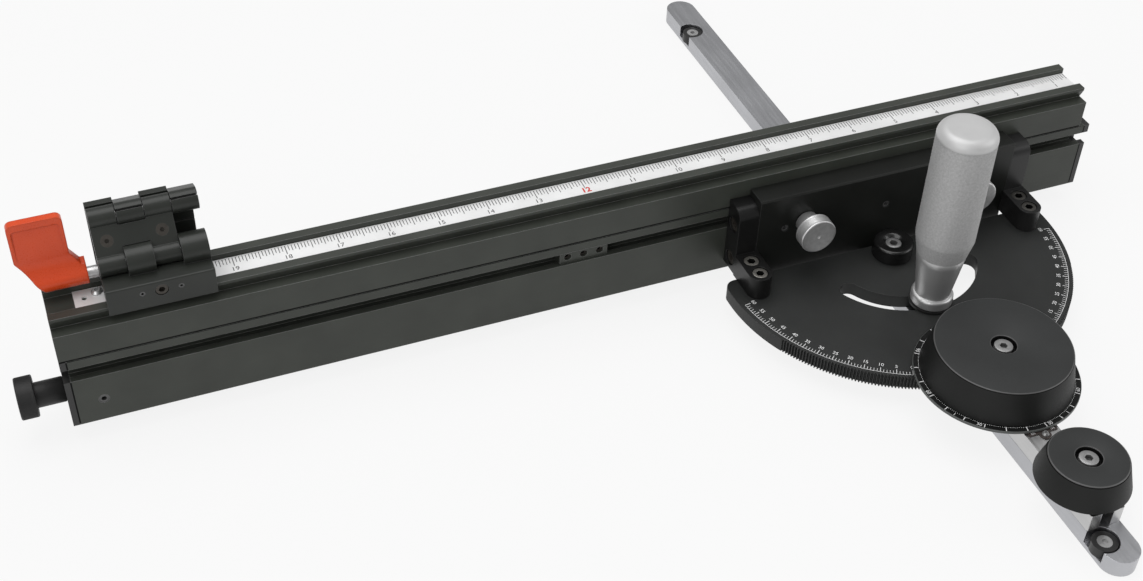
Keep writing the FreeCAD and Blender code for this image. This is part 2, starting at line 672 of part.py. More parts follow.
def clamp_handle():
    # Base ring, waist, long taper, straight grip and a crowned end.
    ring_top = HANDLE_RING_HEIGHT
    bead = 1.2
    crown_start = HANDLE_LENGTH - HANDLE_CROWN
    crown_flat = HANDLE_GRIP_RADIUS - HANDLE_CROWN * 0.8
    crown_mid = Vector(HANDLE_GRIP_RADIUS - HANDLE_CROWN * 0.22, 0,
                       handle_base_z() + HANDLE_LENGTH - HANDLE_CROWN * 0.32)
    axis_bottom = handle_point(0, 0)
    axis_top = handle_point(0, HANDLE_LENGTH)
    foot = handle_point(HANDLE_RING_RADIUS, 0)
    ring_side = handle_point(HANDLE_RING_RADIUS, ring_top - bead * 1.5)
    ring_edge = handle_point(HANDLE_RING_RADIUS - bead, ring_top)
    waist = handle_point(HANDLE_WAIST_RADIUS, ring_top + bead * 0.4)
    seam = handle_point(HANDLE_SEAM_RADIUS, HANDLE_SEAM_HEIGHT)
    grip = handle_point(HANDLE_GRIP_RADIUS, HANDLE_GRIP_START)
    crown = handle_point(HANDLE_GRIP_RADIUS, crown_start)
    crown_edge = handle_point(crown_flat, HANDLE_LENGTH)
    ring_mid = handle_point(HANDLE_RING_RADIUS - bead * 0.3, ring_top - bead * 0.45)
    edges = [Part.makeLine(axis_bottom, foot), Part.makeLine(foot, ring_side)]
    edges.append(Part.Arc(ring_side, ring_mid, ring_edge).toShape())
    edges.append(Part.makeLine(ring_edge, waist))
    edges.append(Part.makeLine(waist, seam))
    edges.append(Part.makeLine(seam, grip))
    edges.append(Part.makeLine(grip, crown))
    edges.append(Part.Arc(crown, crown_mid, crown_edge).toShape())
    edges.append(Part.makeLine(crown_edge, axis_top))
    edges.append(Part.makeLine(axis_top, axis_bottom))
    handle = Part.Face(Part.Wire(edges)).revolve(Vector(0, 0, 0), Z_AXIS, 360)
    handle.translate(Vector(0, HANDLE_Y, 0))
    top = handle_base_z() + HANDLE_STUD_RISE
    return handle.cut(rod_z(0, HANDLE_Y, handle_base_z(), top, HANDLE_STUD_RADIUS))


# Micro-adjust block with pinion, spindle, dial and wheel

def micro_block():
    half = BAR_WIDTH / 2.0
    block = box(-half, half, BLOCK_FRONT_Y, BLOCK_BACK_Y, BLOCK_BOTTOM_Z, BLOCK_TOP_Z)
    front_edges = edges_along(block, Z_AXIS, lambda p: p.y < BLOCK_FRONT_Y + 1.0)
    block = block.makeFillet(1.0, front_edges)
    pocket_radius = PINION_PITCH_RADIUS + MODULE + PINION_CLEARANCE
    floor = BLOCK_BOTTOM_Z + BLOCK_FLOOR
    ceiling = PINION_TOP_Z + RUNNING_GAP
    tools = [rod_z(0, PINION_Y, floor, ceiling, pocket_radius)]
    tools.append(box(-pocket_radius, pocket_radius, PINION_Y, BLOCK_BACK_Y + 1.0, floor, ceiling))
    tools.append(rod_z(0, PINION_Y, BLOCK_BOTTOM_Z, floor, SPINDLE_LOWER_RADIUS + SHAFT_GAP))
    tools.append(rod_z(0, PINION_Y, ceiling, BLOCK_TOP_Z, SPINDLE_UPPER_RADIUS + SHAFT_GAP))
    slot = BLOCK_SLOT_WIDTH / 2.0
    slot_end = LOCK_Y + BLOCK_SLOT_MARGIN
    tools.append(box(-slot, slot, BLOCK_FRONT_Y - 1.0, slot_end, BLOCK_BOTTOM_Z, BLOCK_TOP_Z))
    tools.append(rod_z(0, slot_end, BLOCK_BOTTOM_Z, BLOCK_TOP_Z, slot))
    guide = GUIDE_PIN_RADIUS + SHAFT_GAP
    guide_top = BAR_THICKNESS + GUIDE_PIN_RISE + HINGE_GAP
    far_y = guide_pin_y() + BLOCK_TRAVEL
    tools.append(box(-guide, guide, guide_pin_y(), far_y, BLOCK_BOTTOM_Z, guide_top))
    for y in (guide_pin_y(), far_y):
        tools.append(rod_z(0, y, BLOCK_BOTTOM_Z, guide_top, guide))
    tools.append(rod_z(0, POINTER_SCREW_Y, BLOCK_TOP_Z - POINTER_SCREW_GRIP, BLOCK_TOP_Z,
                       POINTER_SCREW_SHANK))
    return cut_all(block, tools)


def pointer_plate():
    front = POINTER_SCREW_Y + POINTER_TAB_RADIUS * 0.4
    plate = box(-POINTER_HALF_WIDTH, POINTER_HALF_WIDTH, front, front + POINTER_LENGTH,
                BLOCK_TOP_Z, BLOCK_TOP_Z + POINTER_THICKNESS)
    tab = rod_z(0, POINTER_SCREW_Y, BLOCK_TOP_Z, BLOCK_TOP_Z + POINTER_THICKNESS, POINTER_TAB_RADIUS)
    hole = rod_z(0, POINTER_SCREW_Y, BLOCK_TOP_Z, BLOCK_TOP_Z + POINTER_THICKNESS, POINTER_SCREW_SHANK)
    return fused([plate, tab]).cut(hole)


def pointer_screw():
    length = POINTER_THICKNESS + POINTER_SCREW_GRIP
    screw = button_screw(POINTER_SCREW_RADIUS, POINTER_SCREW_HEIGHT, POINTER_SCREW_SHANK, length)
    return aimed(screw, Vector(0, POINTER_SCREW_Y, BLOCK_TOP_Z + POINTER_THICKNESS), Z_AXIS)


def involute(pressure):
    return math.tan(pressure) - pressure


def pinion_half_angle(radius):
    # Half the angle that a pinion tooth covers at a radius.
    base = PINION_PITCH_RADIUS * math.cos(math.radians(PRESSURE_ANGLE))
    pressure = math.acos(min(1.0, base / radius))
    thickness = (math.pi * MODULE - BACKLASH) / 2.0
    half = thickness / (2.0 * PINION_PITCH_RADIUS)
    return half + involute(math.radians(PRESSURE_ANGLE)) - involute(pressure)


def pinion():
    # A gap faces the rim, where a rim tooth stands on the centre line.
    root = PINION_PITCH_RADIUS - 1.25 * MODULE
    tip = PINION_PITCH_RADIUS + MODULE
    pitch = 2.0 * math.pi / PINION_TEETH
    points = []
    for tooth in range(PINION_TEETH):
        centre = math.pi / 2.0 + (tooth + 0.5) * pitch
        for radius, side in ((root, -1), (PINION_PITCH_RADIUS, -1), (tip, -1),
                             (tip, 1), (PINION_PITCH_RADIUS, 1), (root, 1)):
            angle = centre + side * pinion_half_angle(radius)
            points.append((radius * math.cos(angle), PINION_Y + radius * math.sin(angle)))
    bottom = BLOCK_BOTTOM_Z + BLOCK_FLOOR + RUNNING_GAP
    gear = outline_up(points, bottom, PINION_TOP_Z)
    return gear.cut(rod_z(0, PINION_Y, bottom, PINION_TOP_Z, SPINDLE_LOWER_RADIUS))


def wheel_seat_z():
    return WHEEL_TOP_Z - COUNTERBORE_DEPTH


def wheel_spindle():
    shoulder = PINION_TOP_Z
    collar = BLOCK_TOP_Z + RUNNING_GAP
    top = wheel_seat_z() - HINGE_GAP
    bottom = BLOCK_BOTTOM_Z + RUNNING_GAP / 2.0
    bore_bottom = wheel_seat_z() - WHEEL_SCREW_GRIP - HINGE_GAP
    solid = turned([(0, bottom), (SPINDLE_LOWER_RADIUS, bottom), (SPINDLE_LOWER_RADIUS, shoulder),
                    (SPINDLE_UPPER_RADIUS, shoulder), (SPINDLE_UPPER_RADIUS, collar),
                    (SPINDLE_COLLAR_RADIUS, collar), (SPINDLE_COLLAR_RADIUS, DIAL_BOTTOM_Z),
                    (SPINDLE_UPPER_RADIUS, DIAL_BOTTOM_Z), (SPINDLE_UPPER_RADIUS, top),
                    (0, top)], 0, PINION_Y)
    return solid.cut(rod_z(0, PINION_Y, bore_bottom, top, BUTTON_SHANK_RADIUS))


def index_dial():
    disc = rod_z(0, PINION_Y, DIAL_BOTTOM_Z, WHEEL_BOTTOM_Z, DIAL_RADIUS)
    return disc.cut(rod_z(0, PINION_Y, DIAL_BOTTOM_Z, WHEEL_BOTTOM_Z, SPINDLE_UPPER_RADIUS))


def round_edges(solid, z, radius, fillet):
    # Rounds the circular edge of the given height and radius.
    found = []
    for edge in solid.Edges:
        if edge.Curve.TypeId != "Part::GeomCircle":
            continue
        if abs(edge.Curve.Center.z - z) < 0.01 and abs(edge.Curve.Radius - radius) < 0.01:
            found.append(edge)
    return solid.makeFillet(fillet, found)


def conical_knob(y, z0, z1, base_radius, top_radius, hub_radius):
    # A tapered moulding, hollow underneath, with a hub in the middle.
    knob = turned([(0, z0), (base_radius, z0), (top_radius, z1), (0, z1)], 0, y)
    knob = round_edges(knob, z1, top_radius, WHEEL_EDGE_RADIUS)
    hollow = turned([(hub_radius, z0), (base_radius - WHEEL_WALL, z0),
                     (top_radius - WHEEL_WALL, z1 - COUNTERBORE_DEPTH - WHEEL_WALL),
                     (hub_radius, z1 - COUNTERBORE_DEPTH - WHEEL_WALL)], 0, y)
    knob = knob.cut(hollow)
    return knob.cut(rod_z(0, y, z1 - COUNTERBORE_DEPTH, z1, COUNTERBORE_RADIUS))


def micro_wheel():
    wheel = conical_knob(PINION_Y, WHEEL_BOTTOM_Z, WHEEL_TOP_Z, WHEEL_BASE_RADIUS, WHEEL_TOP_RADIUS,
                         WHEEL_HUB_RADIUS)
    return wheel.cut(rod_z(0, PINION_Y, WHEEL_BOTTOM_Z, wheel_seat_z(), SPINDLE_UPPER_RADIUS))


def wheel_screw():
    screw = button_screw(BUTTON_HEAD_RADIUS, BUTTON_HEAD_HEIGHT, BUTTON_SHANK_RADIUS, WHEEL_SCREW_GRIP)
    return aimed(screw, Vector(0, PINION_Y, wheel_seat_z()), Z_AXIS)


# Lock knob

def lock_seat_z():
    return LOCK_TOP_Z - COUNTERBORE_DEPTH


def lock_washer():
    z0 = BLOCK_TOP_Z + RUNNING_GAP
    washer = rod_z(0, LOCK_Y, z0, LOCK_BOTTOM_Z, LOCK_WASHER_RADIUS)
    return washer.cut(rod_z(0, LOCK_Y, z0, LOCK_BOTTOM_Z, LOCK_SHANK_RADIUS))


def lock_knob():
    knob = conical_knob(LOCK_Y, LOCK_BOTTOM_Z, LOCK_TOP_Z, LOCK_BASE_RADIUS, LOCK_TOP_RADIUS,
                        WHEEL_HUB_RADIUS)
    return knob.cut(rod_z(0, LOCK_Y, LOCK_BOTTOM_Z, lock_seat_z(), LOCK_SHANK_RADIUS))


def lock_screw():
    length = lock_seat_z() - BAR_THICKNESS + LOCK_SCREW_GRIP
    screw = button_screw(BUTTON_HEAD_RADIUS, BUTTON_HEAD_HEIGHT, LOCK_SHANK_RADIUS, length)
    return aimed(screw, Vector(0, LOCK_Y, lock_seat_z()), Z_AXIS)


# Fence rail, its end caps and what is fixed in them

def rail_outline():
    # Front T-slot and a keel groove in the top, as one (y, z) outline.
    front = FENCE_FRONT_Y
    slot_low = T_SLOT_Z - T_SLOT_OPENING / 2.0
    slot_high = T_SLOT_Z + T_SLOT_OPENING / 2.0
    inside_low = T_SLOT_Z - T_SLOT_INSIDE / 2.0
    inside_high = T_SLOT_Z + T_SLOT_INSIDE / 2.0
    neck = KEEL_NECK_HALF + SLIDE_GAP
    keel = KEEL_HALF + SLIDE_GAP
    lip_z = RAIL_TOP_Z - KEEL_LIP
    floor_z = lip_z - KEEL_THICKNESS - 2.0 * SLIDE_GAP
    return [(front, RAIL_BOTTOM_Z), (FENCE_BACK_Y, RAIL_BOTTOM_Z), (FENCE_BACK_Y, RAIL_TOP_Z),
            (FENCE_MID_Y + neck, RAIL_TOP_Z), (FENCE_MID_Y + neck, lip_z),
            (FENCE_MID_Y + keel, lip_z), (FENCE_MID_Y + keel, floor_z),
            (FENCE_MID_Y - keel, floor_z), (FENCE_MID_Y - keel, lip_z),
            (FENCE_MID_Y - neck, lip_z), (FENCE_MID_Y - neck, RAIL_TOP_Z), (front, RAIL_TOP_Z),
            (front, slot_high), (front + T_SLOT_LIP, slot_high), (front + T_SLOT_LIP, inside_high),
            (front + T_SLOT_DEPTH, inside_high), (front + T_SLOT_DEPTH, inside_low),
            (front + T_SLOT_LIP, inside_low), (front + T_SLOT_LIP, slot_low), (front, slot_low)]


def rail_cavity(gap):
    # (y0, y1, z0, z1) of the hollow below the T-slot, drawn in by a gap.
    top = T_SLOT_Z - T_SLOT_INSIDE / 2.0 - FENCE_WALL + 0.4
    return (FENCE_FRONT_Y + FENCE_WALL + gap, FENCE_BACK_Y - FENCE_WALL - gap,
            RAIL_BOTTOM_Z + FENCE_WALL + gap, top - gap)


def rail_bar(x0, x1):
    bar = section_along_x(rail_outline(), x0, x1)
    low = edges_along(bar, X_AXIS, lambda p: abs(p.z - RAIL_BOTTOM_Z) < 0.01)
    return bar.makeFillet(RAIL_EDGE_RADIUS, low)


def fence_rail():
    rail = rail_bar(RAIL_LEFT_X, RAIL_RIGHT_X)
    y0, y1, z0, z1 = rail_cavity(0)
    tools = [box(RAIL_LEFT_X, RAIL_RIGHT_X, y0, y1, z0, z1)]
    keel = FENCE_MID_Y + KEEL_HALF + SLIDE_GAP + FENCE_WALL * 0.7
    tools.append(box(RAIL_LEFT_X, RAIL_RIGHT_X, keel, FENCE_BACK_Y - FENCE_WALL,
                     z1 + FENCE_WALL, RAIL_TOP_Z - FENCE_WALL))
    screw_x = RAIL_LEFT_X + CAP_SCREW_SETBACK
    tools.append(rod_y(screw_x, THUMB_END_Z, FENCE_FRONT_Y, FENCE_FRONT_Y + FENCE_WALL, CAP_SCREW_RADIUS))
    return cut_all(rail, tools)


def cap_with_plug(x0, x1, plug_x0, plug_x1):
    y0, y1, z0, z1 = rail_cavity(CAP_PLUG_GAP)
    return fused([rail_bar(x0, x1), box(plug_x0, plug_x1, y0, y1, z0, z1)])


def left_end_cap():
    cap = cap_with_plug(EXTENSION_LEFT_X, RAIL_LEFT_X, RAIL_LEFT_X, RAIL_LEFT_X + CAP_PLUG_LENGTH)
    shank = THUMB_END_SHANK_RADIUS + SHAFT_GAP
    end = EXTENSION_LEFT_X + THUMB_END_SHANK_LENGTH + HINGE_GAP
    screw_x = RAIL_LEFT_X + CAP_SCREW_SETBACK
    tip_y = FENCE_FRONT_Y + CAP_SCREW_LENGTH + RUNNING_GAP * 2.0
    tools = [rod_x(THUMB_END_Y, THUMB_END_Z, EXTENSION_LEFT_X, end, shank)]
    tools.append(rod_y(screw_x, THUMB_END_Z, FENCE_FRONT_Y, tip_y, CAP_SCREW_RADIUS))
    return cut_all(cap, tools)


def right_end_cap():
    return cap_with_plug(RAIL_RIGHT_X, RAIL_RIGHT_X + CAP_THICKNESS,
                         RAIL_RIGHT_X - CAP_PLUG_LENGTH, RAIL_RIGHT_X)


def cap_set_screw():
    screw = set_screw(CAP_SCREW_RADIUS, CAP_SCREW_LENGTH)
    place = Vector(RAIL_LEFT_X + CAP_SCREW_SETBACK, FENCE_FRONT_Y + RUNNING_GAP * 2.0, THUMB_END_Z)
    return aimed(screw, place, -Y_AXIS)


def end_thumbscrew():
    neck_right = EXTENSION_LEFT_X - RUNNING_GAP
    neck_left = neck_right - THUMB_END_NECK_LENGTH
    head_left = neck_left - THUMB_END_HEAD_LENGTH
    head = rod_x(THUMB_END_Y, THUMB_END_Z, head_left, neck_left, THUMB_END_HEAD_RADIUS)
    rims = [edge for edge in head.Edges if edge.Curve.TypeId == "Part::GeomCircle"]
    head = head.makeChamfer(0.6, rims)
    neck = rod_x(THUMB_END_Y, THUMB_END_Z, neck_left, neck_right, THUMB_END_NECK_RADIUS)
    shank = rod_x(THUMB_END_Y, THUMB_END_Z, neck_right, EXTENSION_LEFT_X + THUMB_END_SHANK_LENGTH,
                  THUMB_END_SHANK_RADIUS)
    return fused([head, neck, shank])


def slot_section(front_y, gap):
    # T-shaped (y, z) section of a piece that fills the front T-slot.
    neck = T_SLOT_OPENING / 2.0 - gap
    wide = T_SLOT_INSIDE / 2.0 - gap
    inner = FENCE_FRONT_Y + T_SLOT_LIP + gap
    back = FENCE_FRONT_Y + T_SLOT_DEPTH - gap
    return [(front_y, T_SLOT_Z - neck), (inner, T_SLOT_Z - neck), (inner, T_SLOT_Z - wide),
            (back, T_SLOT_Z - wide), (back, T_SLOT_Z + wide), (inner, T_SLOT_Z + wide),
            (inner, T_SLOT_Z + neck), (front_y, T_SLOT_Z + neck)]


def slot_screw_places():
    middle = SLOT_STOP_LEFT_X + SLOT_STOP_LENGTH / 2.0
    return [middle + index * SLOT_STOP_PITCH for index in (-1, 0, 1)]


def slot_stop():
    front = FENCE_FRONT_Y + SLOT_STOP_RECESS
    stop = section_along_x(slot_section(front, SLOT_STOP_SIDE_GAP), SLOT_STOP_LEFT_X,
                           SLOT_STOP_LEFT_X + SLOT_STOP_LENGTH)
    back = FENCE_FRONT_Y + T_SLOT_DEPTH
    tools = [rod_y(x, T_SLOT_Z, front, back, SLOT_SCREW_RADIUS) for x in slot_screw_places()]
    return cut_all(stop, tools)


def slot_stop_screws():
    # Each one bears on the bottom of the T-slot.
    front = FENCE_FRONT_Y + SLOT_STOP_RECESS + 1.4
    length = FENCE_FRONT_Y + T_SLOT_DEPTH - front
    screws = []
    for x in slot_screw_places():
        screws.append(aimed(set_screw(SLOT_SCREW_RADIUS, length), Vector(x, front, T_SLOT_Z), -Y_AXIS))
    return screws


# Fence extension, rule and screw

def extension_outline():
    # T-shaped keel below, closed body, two undercut stop rails and a channel for the rule.
    front = FENCE_FRONT_Y
    back = FENCE_BACK_Y
    keel_top = RAIL_TOP_Z - KEEL_LIP - SLIDE_GAP
    keel_bottom = keel_top - KEEL_THICKNESS
    return [(front, EXTENSION_BOTTOM_Z), (FENCE_MID_Y - KEEL_NECK_HALF, EXTENSION_BOTTOM_Z),
            (FENCE_MID_Y - KEEL_NECK_HALF, keel_top), (FENCE_MID_Y - KEEL_HALF, keel_top),
            (FENCE_MID_Y - KEEL_HALF, keel_bottom), (FENCE_MID_Y + KEEL_HALF, keel_bottom),
            (FENCE_MID_Y + KEEL_HALF, keel_top), (FENCE_MID_Y + KEEL_NECK_HALF, keel_top),
            (FENCE_MID_Y + KEEL_NECK_HALF, EXTENSION_BOTTOM_Z), (back, EXTENSION_BOTTOM_Z),
            (back, SHOULDER_Z), (back - RAIL_WAIST_INSET, SHOULDER_Z),
            (back - RAIL_TIP_INSET, STOP_RAIL_TIP_Z), (back - RAIL_TIP_INSET, STOP_RAIL_TOP_Z),
            (FENCE_MID_Y + RULE_CHANNEL_HALF, STOP_RAIL_TOP_Z),
            (FENCE_MID_Y + RULE_CHANNEL_HALF, RULE_BOTTOM_Z),
            (FENCE_MID_Y - RULE_CHANNEL_HALF, RULE_BOTTOM_Z),
            (FENCE_MID_Y - RULE_CHANNEL_HALF, STOP_RAIL_TOP_Z),
            (front + RAIL_TIP_INSET, STOP_RAIL_TOP_Z), (front + RAIL_TIP_INSET, STOP_RAIL_TIP_Z),
            (front + RAIL_WAIST_INSET, SHOULDER_Z), (front, SHOULDER_Z)]


def rule_left_x():
    return EXTENSION_LEFT_X + RULE_LEFT_INSET


def rule_screw_place():
    return (rule_left_x() + RULE_SCREW_INSET, FENCE_MID_Y + RULE_SCREW_OFFSET)


def fence_extension():
    bar = section_along_x(extension_outline(), EXTENSION_LEFT_X, EXTENSION_RIGHT_X)
    cavity = box(EXTENSION_LEFT_X, EXTENSION_RIGHT_X, FENCE_FRONT_Y + FENCE_WALL,
                 FENCE_BACK_Y - FENCE_WALL, EXTENSION_BOTTOM_Z + FENCE_WALL, SHOULDER_Z - FENCE_WALL)
    x, y = rule_screw_place()
    hole = rod_z(x, y, RULE_BOTTOM_Z - RULE_SCREW_GRIP, RULE_BOTTOM_Z, RULE_SCREW_SHANK)
    return cut_all(bar, [cavity, hole])


def rule_strip():
    half = RULE_CHANNEL_HALF - RULE_SIDE_GAP
    strip = box(rule_left_x(), EXTENSION_RIGHT_X - RULE_RIGHT_INSET, FENCE_MID_Y - half,
                FENCE_MID_Y + half, RULE_BOTTOM_Z, RULE_TOP_Z)
    x, y = rule_screw_place()
    hole_x = rule_left_x() + RULE_HOLE_INSET
    tools = [rod_z(x, y, RULE_BOTTOM_Z, RULE_TOP_Z, RULE_SCREW_SHANK)]
    tools.append(rod_z(hole_x, FENCE_MID_Y + 1.0, RULE_BOTTOM_Z, RULE_TOP_Z, RULE_HOLE_RADIUS))
    return cut_all(strip, tools)


def rule_screw():
    length = RULE_THICKNESS + RULE_SCREW_GRIP
    screw = button_screw(RULE_SCREW_HEAD, RULE_SCREW_HEIGHT, RULE_SCREW_SHANK, length)
    x, y = rule_screw_place()
    return aimed(screw, Vector(x, y, RULE_TOP_Z), Z_AXIS)


# Carrier plate, brackets and fence clamps

def bracket_screw_heights():
    return (END_SCREW_LOW_Z, END_SCREW_HIGH_Z)


def bracket_mid_y():
    return (CARRIER_FRONT_Y + CARRIER_BACK_Y) / 2.0


def carrier_plate():
    plate = box(-CARRIER_HALF_LENGTH, CARRIER_HALF_LENGTH, CARRIER_FRONT_Y, CARRIER_BACK_Y,
                CARRIER_BOTTOM_Z, CARRIER_TOP_Z)
    rim = edges_along(plate, X_AXIS, lambda p: p.y < CARRIER_FRONT_Y + 1.0 and p.z > CARRIER_TOP_Z - 1.0)
    plate = plate.makeChamfer(CARRIER_CHAMFER, rim)
    tools = []
    for sign in (-1, 1):
        tools.append(rod_y(sign * THUMB_X, T_SLOT_Z, CARRIER_FRONT_Y, CARRIER_BACK_Y,
                           THUMB_SHANK_RADIUS + SHAFT_GAP))
        for z in bracket_screw_heights():
            x0 = min(sign * CARRIER_HALF_LENGTH, sign * (CARRIER_HALF_LENGTH - END_SCREW_GRIP))
            tools.append(rod_x(bracket_mid_y(), z, x0, x0 + END_SCREW_GRIP, END_SCREW_RADIUS))
    for index in (-1, 0, 1):
        tools.append(rod_y(index * CARRIER_SCREW_PITCH, CARRIER_SCREW_Z, CARRIER_FRONT_Y,
                           CARRIER_FRONT_Y + CARRIER_SCREW_LENGTH + RUNNING_GAP * 4.0,
                           CARRIER_SCREW_RADIUS))
    return cut_all(plate, tools)


def carrier_set_screws():
    screws = []
    for index in (-1, 0, 1):
        place = Vector(index * CARRIER_SCREW_PITCH, CARRIER_FRONT_Y + RUNNING_GAP * 4.0, CARRIER_SCREW_Z)
        screws.append(aimed(set_screw(CARRIER_SCREW_RADIUS, CARRIER_SCREW_LENGTH), place, -Y_AXIS))
    return screws


def foot_screw_places():
    places = []
    for sign in (-1, 1):
        for step in (0, 1):
            places.append((sign * FOOT_CENTRE_X, FOOT_TIP_CENTRE_Y + step * FOOT_SCREW_PITCH))
    return places


def bracket(sign):
    # Upright beside the carrier's end and a foot with a round toe on the plate.
    inner = sign * CARRIER_HALF_LENGTH
    outer = sign * (CARRIER_HALF_LENGTH + BRACKET_WIDTH)
    upright = box(min(inner, outer), max(inner, outer), CARRIER_FRONT_Y, CARRIER_BACK_Y,
                  PLATE_TOP_Z, BRACKET_TOP_Z)
    roll = edges_along(upright, X_AXIS, lambda p: p.y < CARRIER_FRONT_Y + 1.0 and p.z > BRACKET_TOP_Z - 1.0)
    upright = upright.makeFillet(BRACKET_ROLL_RADIUS, roll)
    foot_top = PLATE_TOP_Z + FOOT_HEIGHT
    centre = sign * FOOT_CENTRE_X
    foot = box(centre - FOOT_HALF_WIDTH, centre + FOOT_HALF_WIDTH, FOOT_TIP_CENTRE_Y,
               CARRIER_FRONT_Y - RUNNING_GAP, PLATE_TOP_Z, foot_top)
    bridge = box(max(min(inner, outer), centre - FOOT_HALF_WIDTH),
                 min(max(inner, outer), centre + FOOT_HALF_WIDTH),
                 CARRIER_FRONT_Y - RUNNING_GAP, CARRIER_FRONT_Y, PLATE_TOP_Z, foot_top)
    toe = rod_z(centre, FOOT_TIP_CENTRE_Y, PLATE_TOP_Z, foot_top, FOOT_HALF_WIDTH)
    solid = fused([upright, bridge, foot, toe])
    tools = []
    for x, y in foot_screw_places():
        tools.append(rod_z(x, y, PLATE_TOP_Z, foot_top, FOOT_SCREW_RADIUS))
        tools.append(rod_z(x, y, foot_top - FOOT_HEAD_RECESS, foot_top, FOOT_HEAD_RADIUS + SLIDE_GAP))
    for z in bracket_screw_heights():
        tools.append(rod_x(bracket_mid_y(), z, min(inner, outer), max(inner, outer), END_SCREW_RADIUS))
        recess = sign * (CARRIER_HALF_LENGTH + BRACKET_WIDTH - END_SCREW_HEAD_DEPTH)
        tools.append(rod_x(bracket_mid_y(), z, min(recess, outer), max(recess, outer),
                           END_SCREW_HEAD_RADIUS + SLIDE_GAP))
    return cut_all(solid, tools)


def bracket_foot_screws():
    seat = PLATE_TOP_Z + FOOT_HEIGHT - FOOT_HEAD_RECESS
    length = FOOT_HEIGHT - FOOT_HEAD_RECESS + FOOT_SCREW_GRIP
    screws = []
    for x, y in foot_screw_places():
        screw = socket_cap_screw(FOOT_HEAD_RADIUS, FOOT_HEAD_HEIGHT, FOOT_SCREW_RADIUS, length)
        screws.append(aimed(screw, Vector(x, y, seat), Z_AXIS))
    return screws


def bracket_end_screws():
    screws = []
    length = BRACKET_WIDTH - END_SCREW_HEAD_DEPTH + END_SCREW_GRIP
    for sign in (-1, 1):
        seat = sign * (CARRIER_HALF_LENGTH + BRACKET_WIDTH - END_SCREW_HEAD_DEPTH)
        for z in bracket_screw_heights():
            screw = socket_cap_screw(END_SCREW_HEAD_RADIUS, END_SCREW_HEAD_HEIGHT, END_SCREW_RADIUS, length)
            screws.append(aimed(screw, Vector(seat, bracket_mid_y(), z), X_AXIS * sign))
    return screws


def slot_nuts():
    front = FENCE_FRONT_Y + RUNNING_GAP
    nuts = []
    for sign in (-1, 1):
        x = sign * THUMB_X
        nut = section_along_x(slot_section(front, SLOT_NUT_GAP), x - SLOT_NUT_HALF_LENGTH,
                              x + SLOT_NUT_HALF_LENGTH)
        hole = rod_y(x, T_SLOT_Z, front, FENCE_FRONT_Y + T_SLOT_DEPTH, THUMB_SHANK_RADIUS + SHAFT_GAP)
        nuts.append(nut.cut(hole))
    return nuts


def thumbscrew(x):
    neck_back = CARRIER_FRONT_Y - RUNNING_GAP
    neck_front = neck_back - THUMB_NECK_LENGTH
    head_front = neck_front - THUMB_HEAD_LENGTH
    head = rod_y(x, T_SLOT_Z, head_front, neck_front, THUMB_HEAD_RADIUS)
    rims = [edge for edge in head.Edges if edge.Curve.TypeId == "Part::GeomCircle"]
    head = head.makeChamfer(0.7, rims)
    neck = rod_y(x, T_SLOT_Z, neck_front, neck_back, THUMB_NECK_RADIUS)
    tail = FENCE_FRONT_Y + T_SLOT_DEPTH - THUMB_SHANK_TAIL
    shank = rod_y(x, T_SLOT_Z, neck_back, tail, THUMB_SHANK_RADIUS)
    return fused([head, neck, shank])


# Flip stop

def knuckle_span(first, last, gap):
    # X range from knuckle number first to last, counted from the left, drawn in by a gap.
    return (STOP_LEFT_X + first * KNUCKLE_LENGTH + gap, STOP_LEFT_X + (last + 1) * KNUCKLE_LENGTH - gap)


def undercut_step(drop):
    # How far the rail's undercut has drawn back at a depth below the rail's tip.
    slope = (RAIL_WAIST_INSET - RAIL_TIP_INSET) / (STOP_RAIL_TIP_Z - SHOULDER_Z)
    return slope * drop


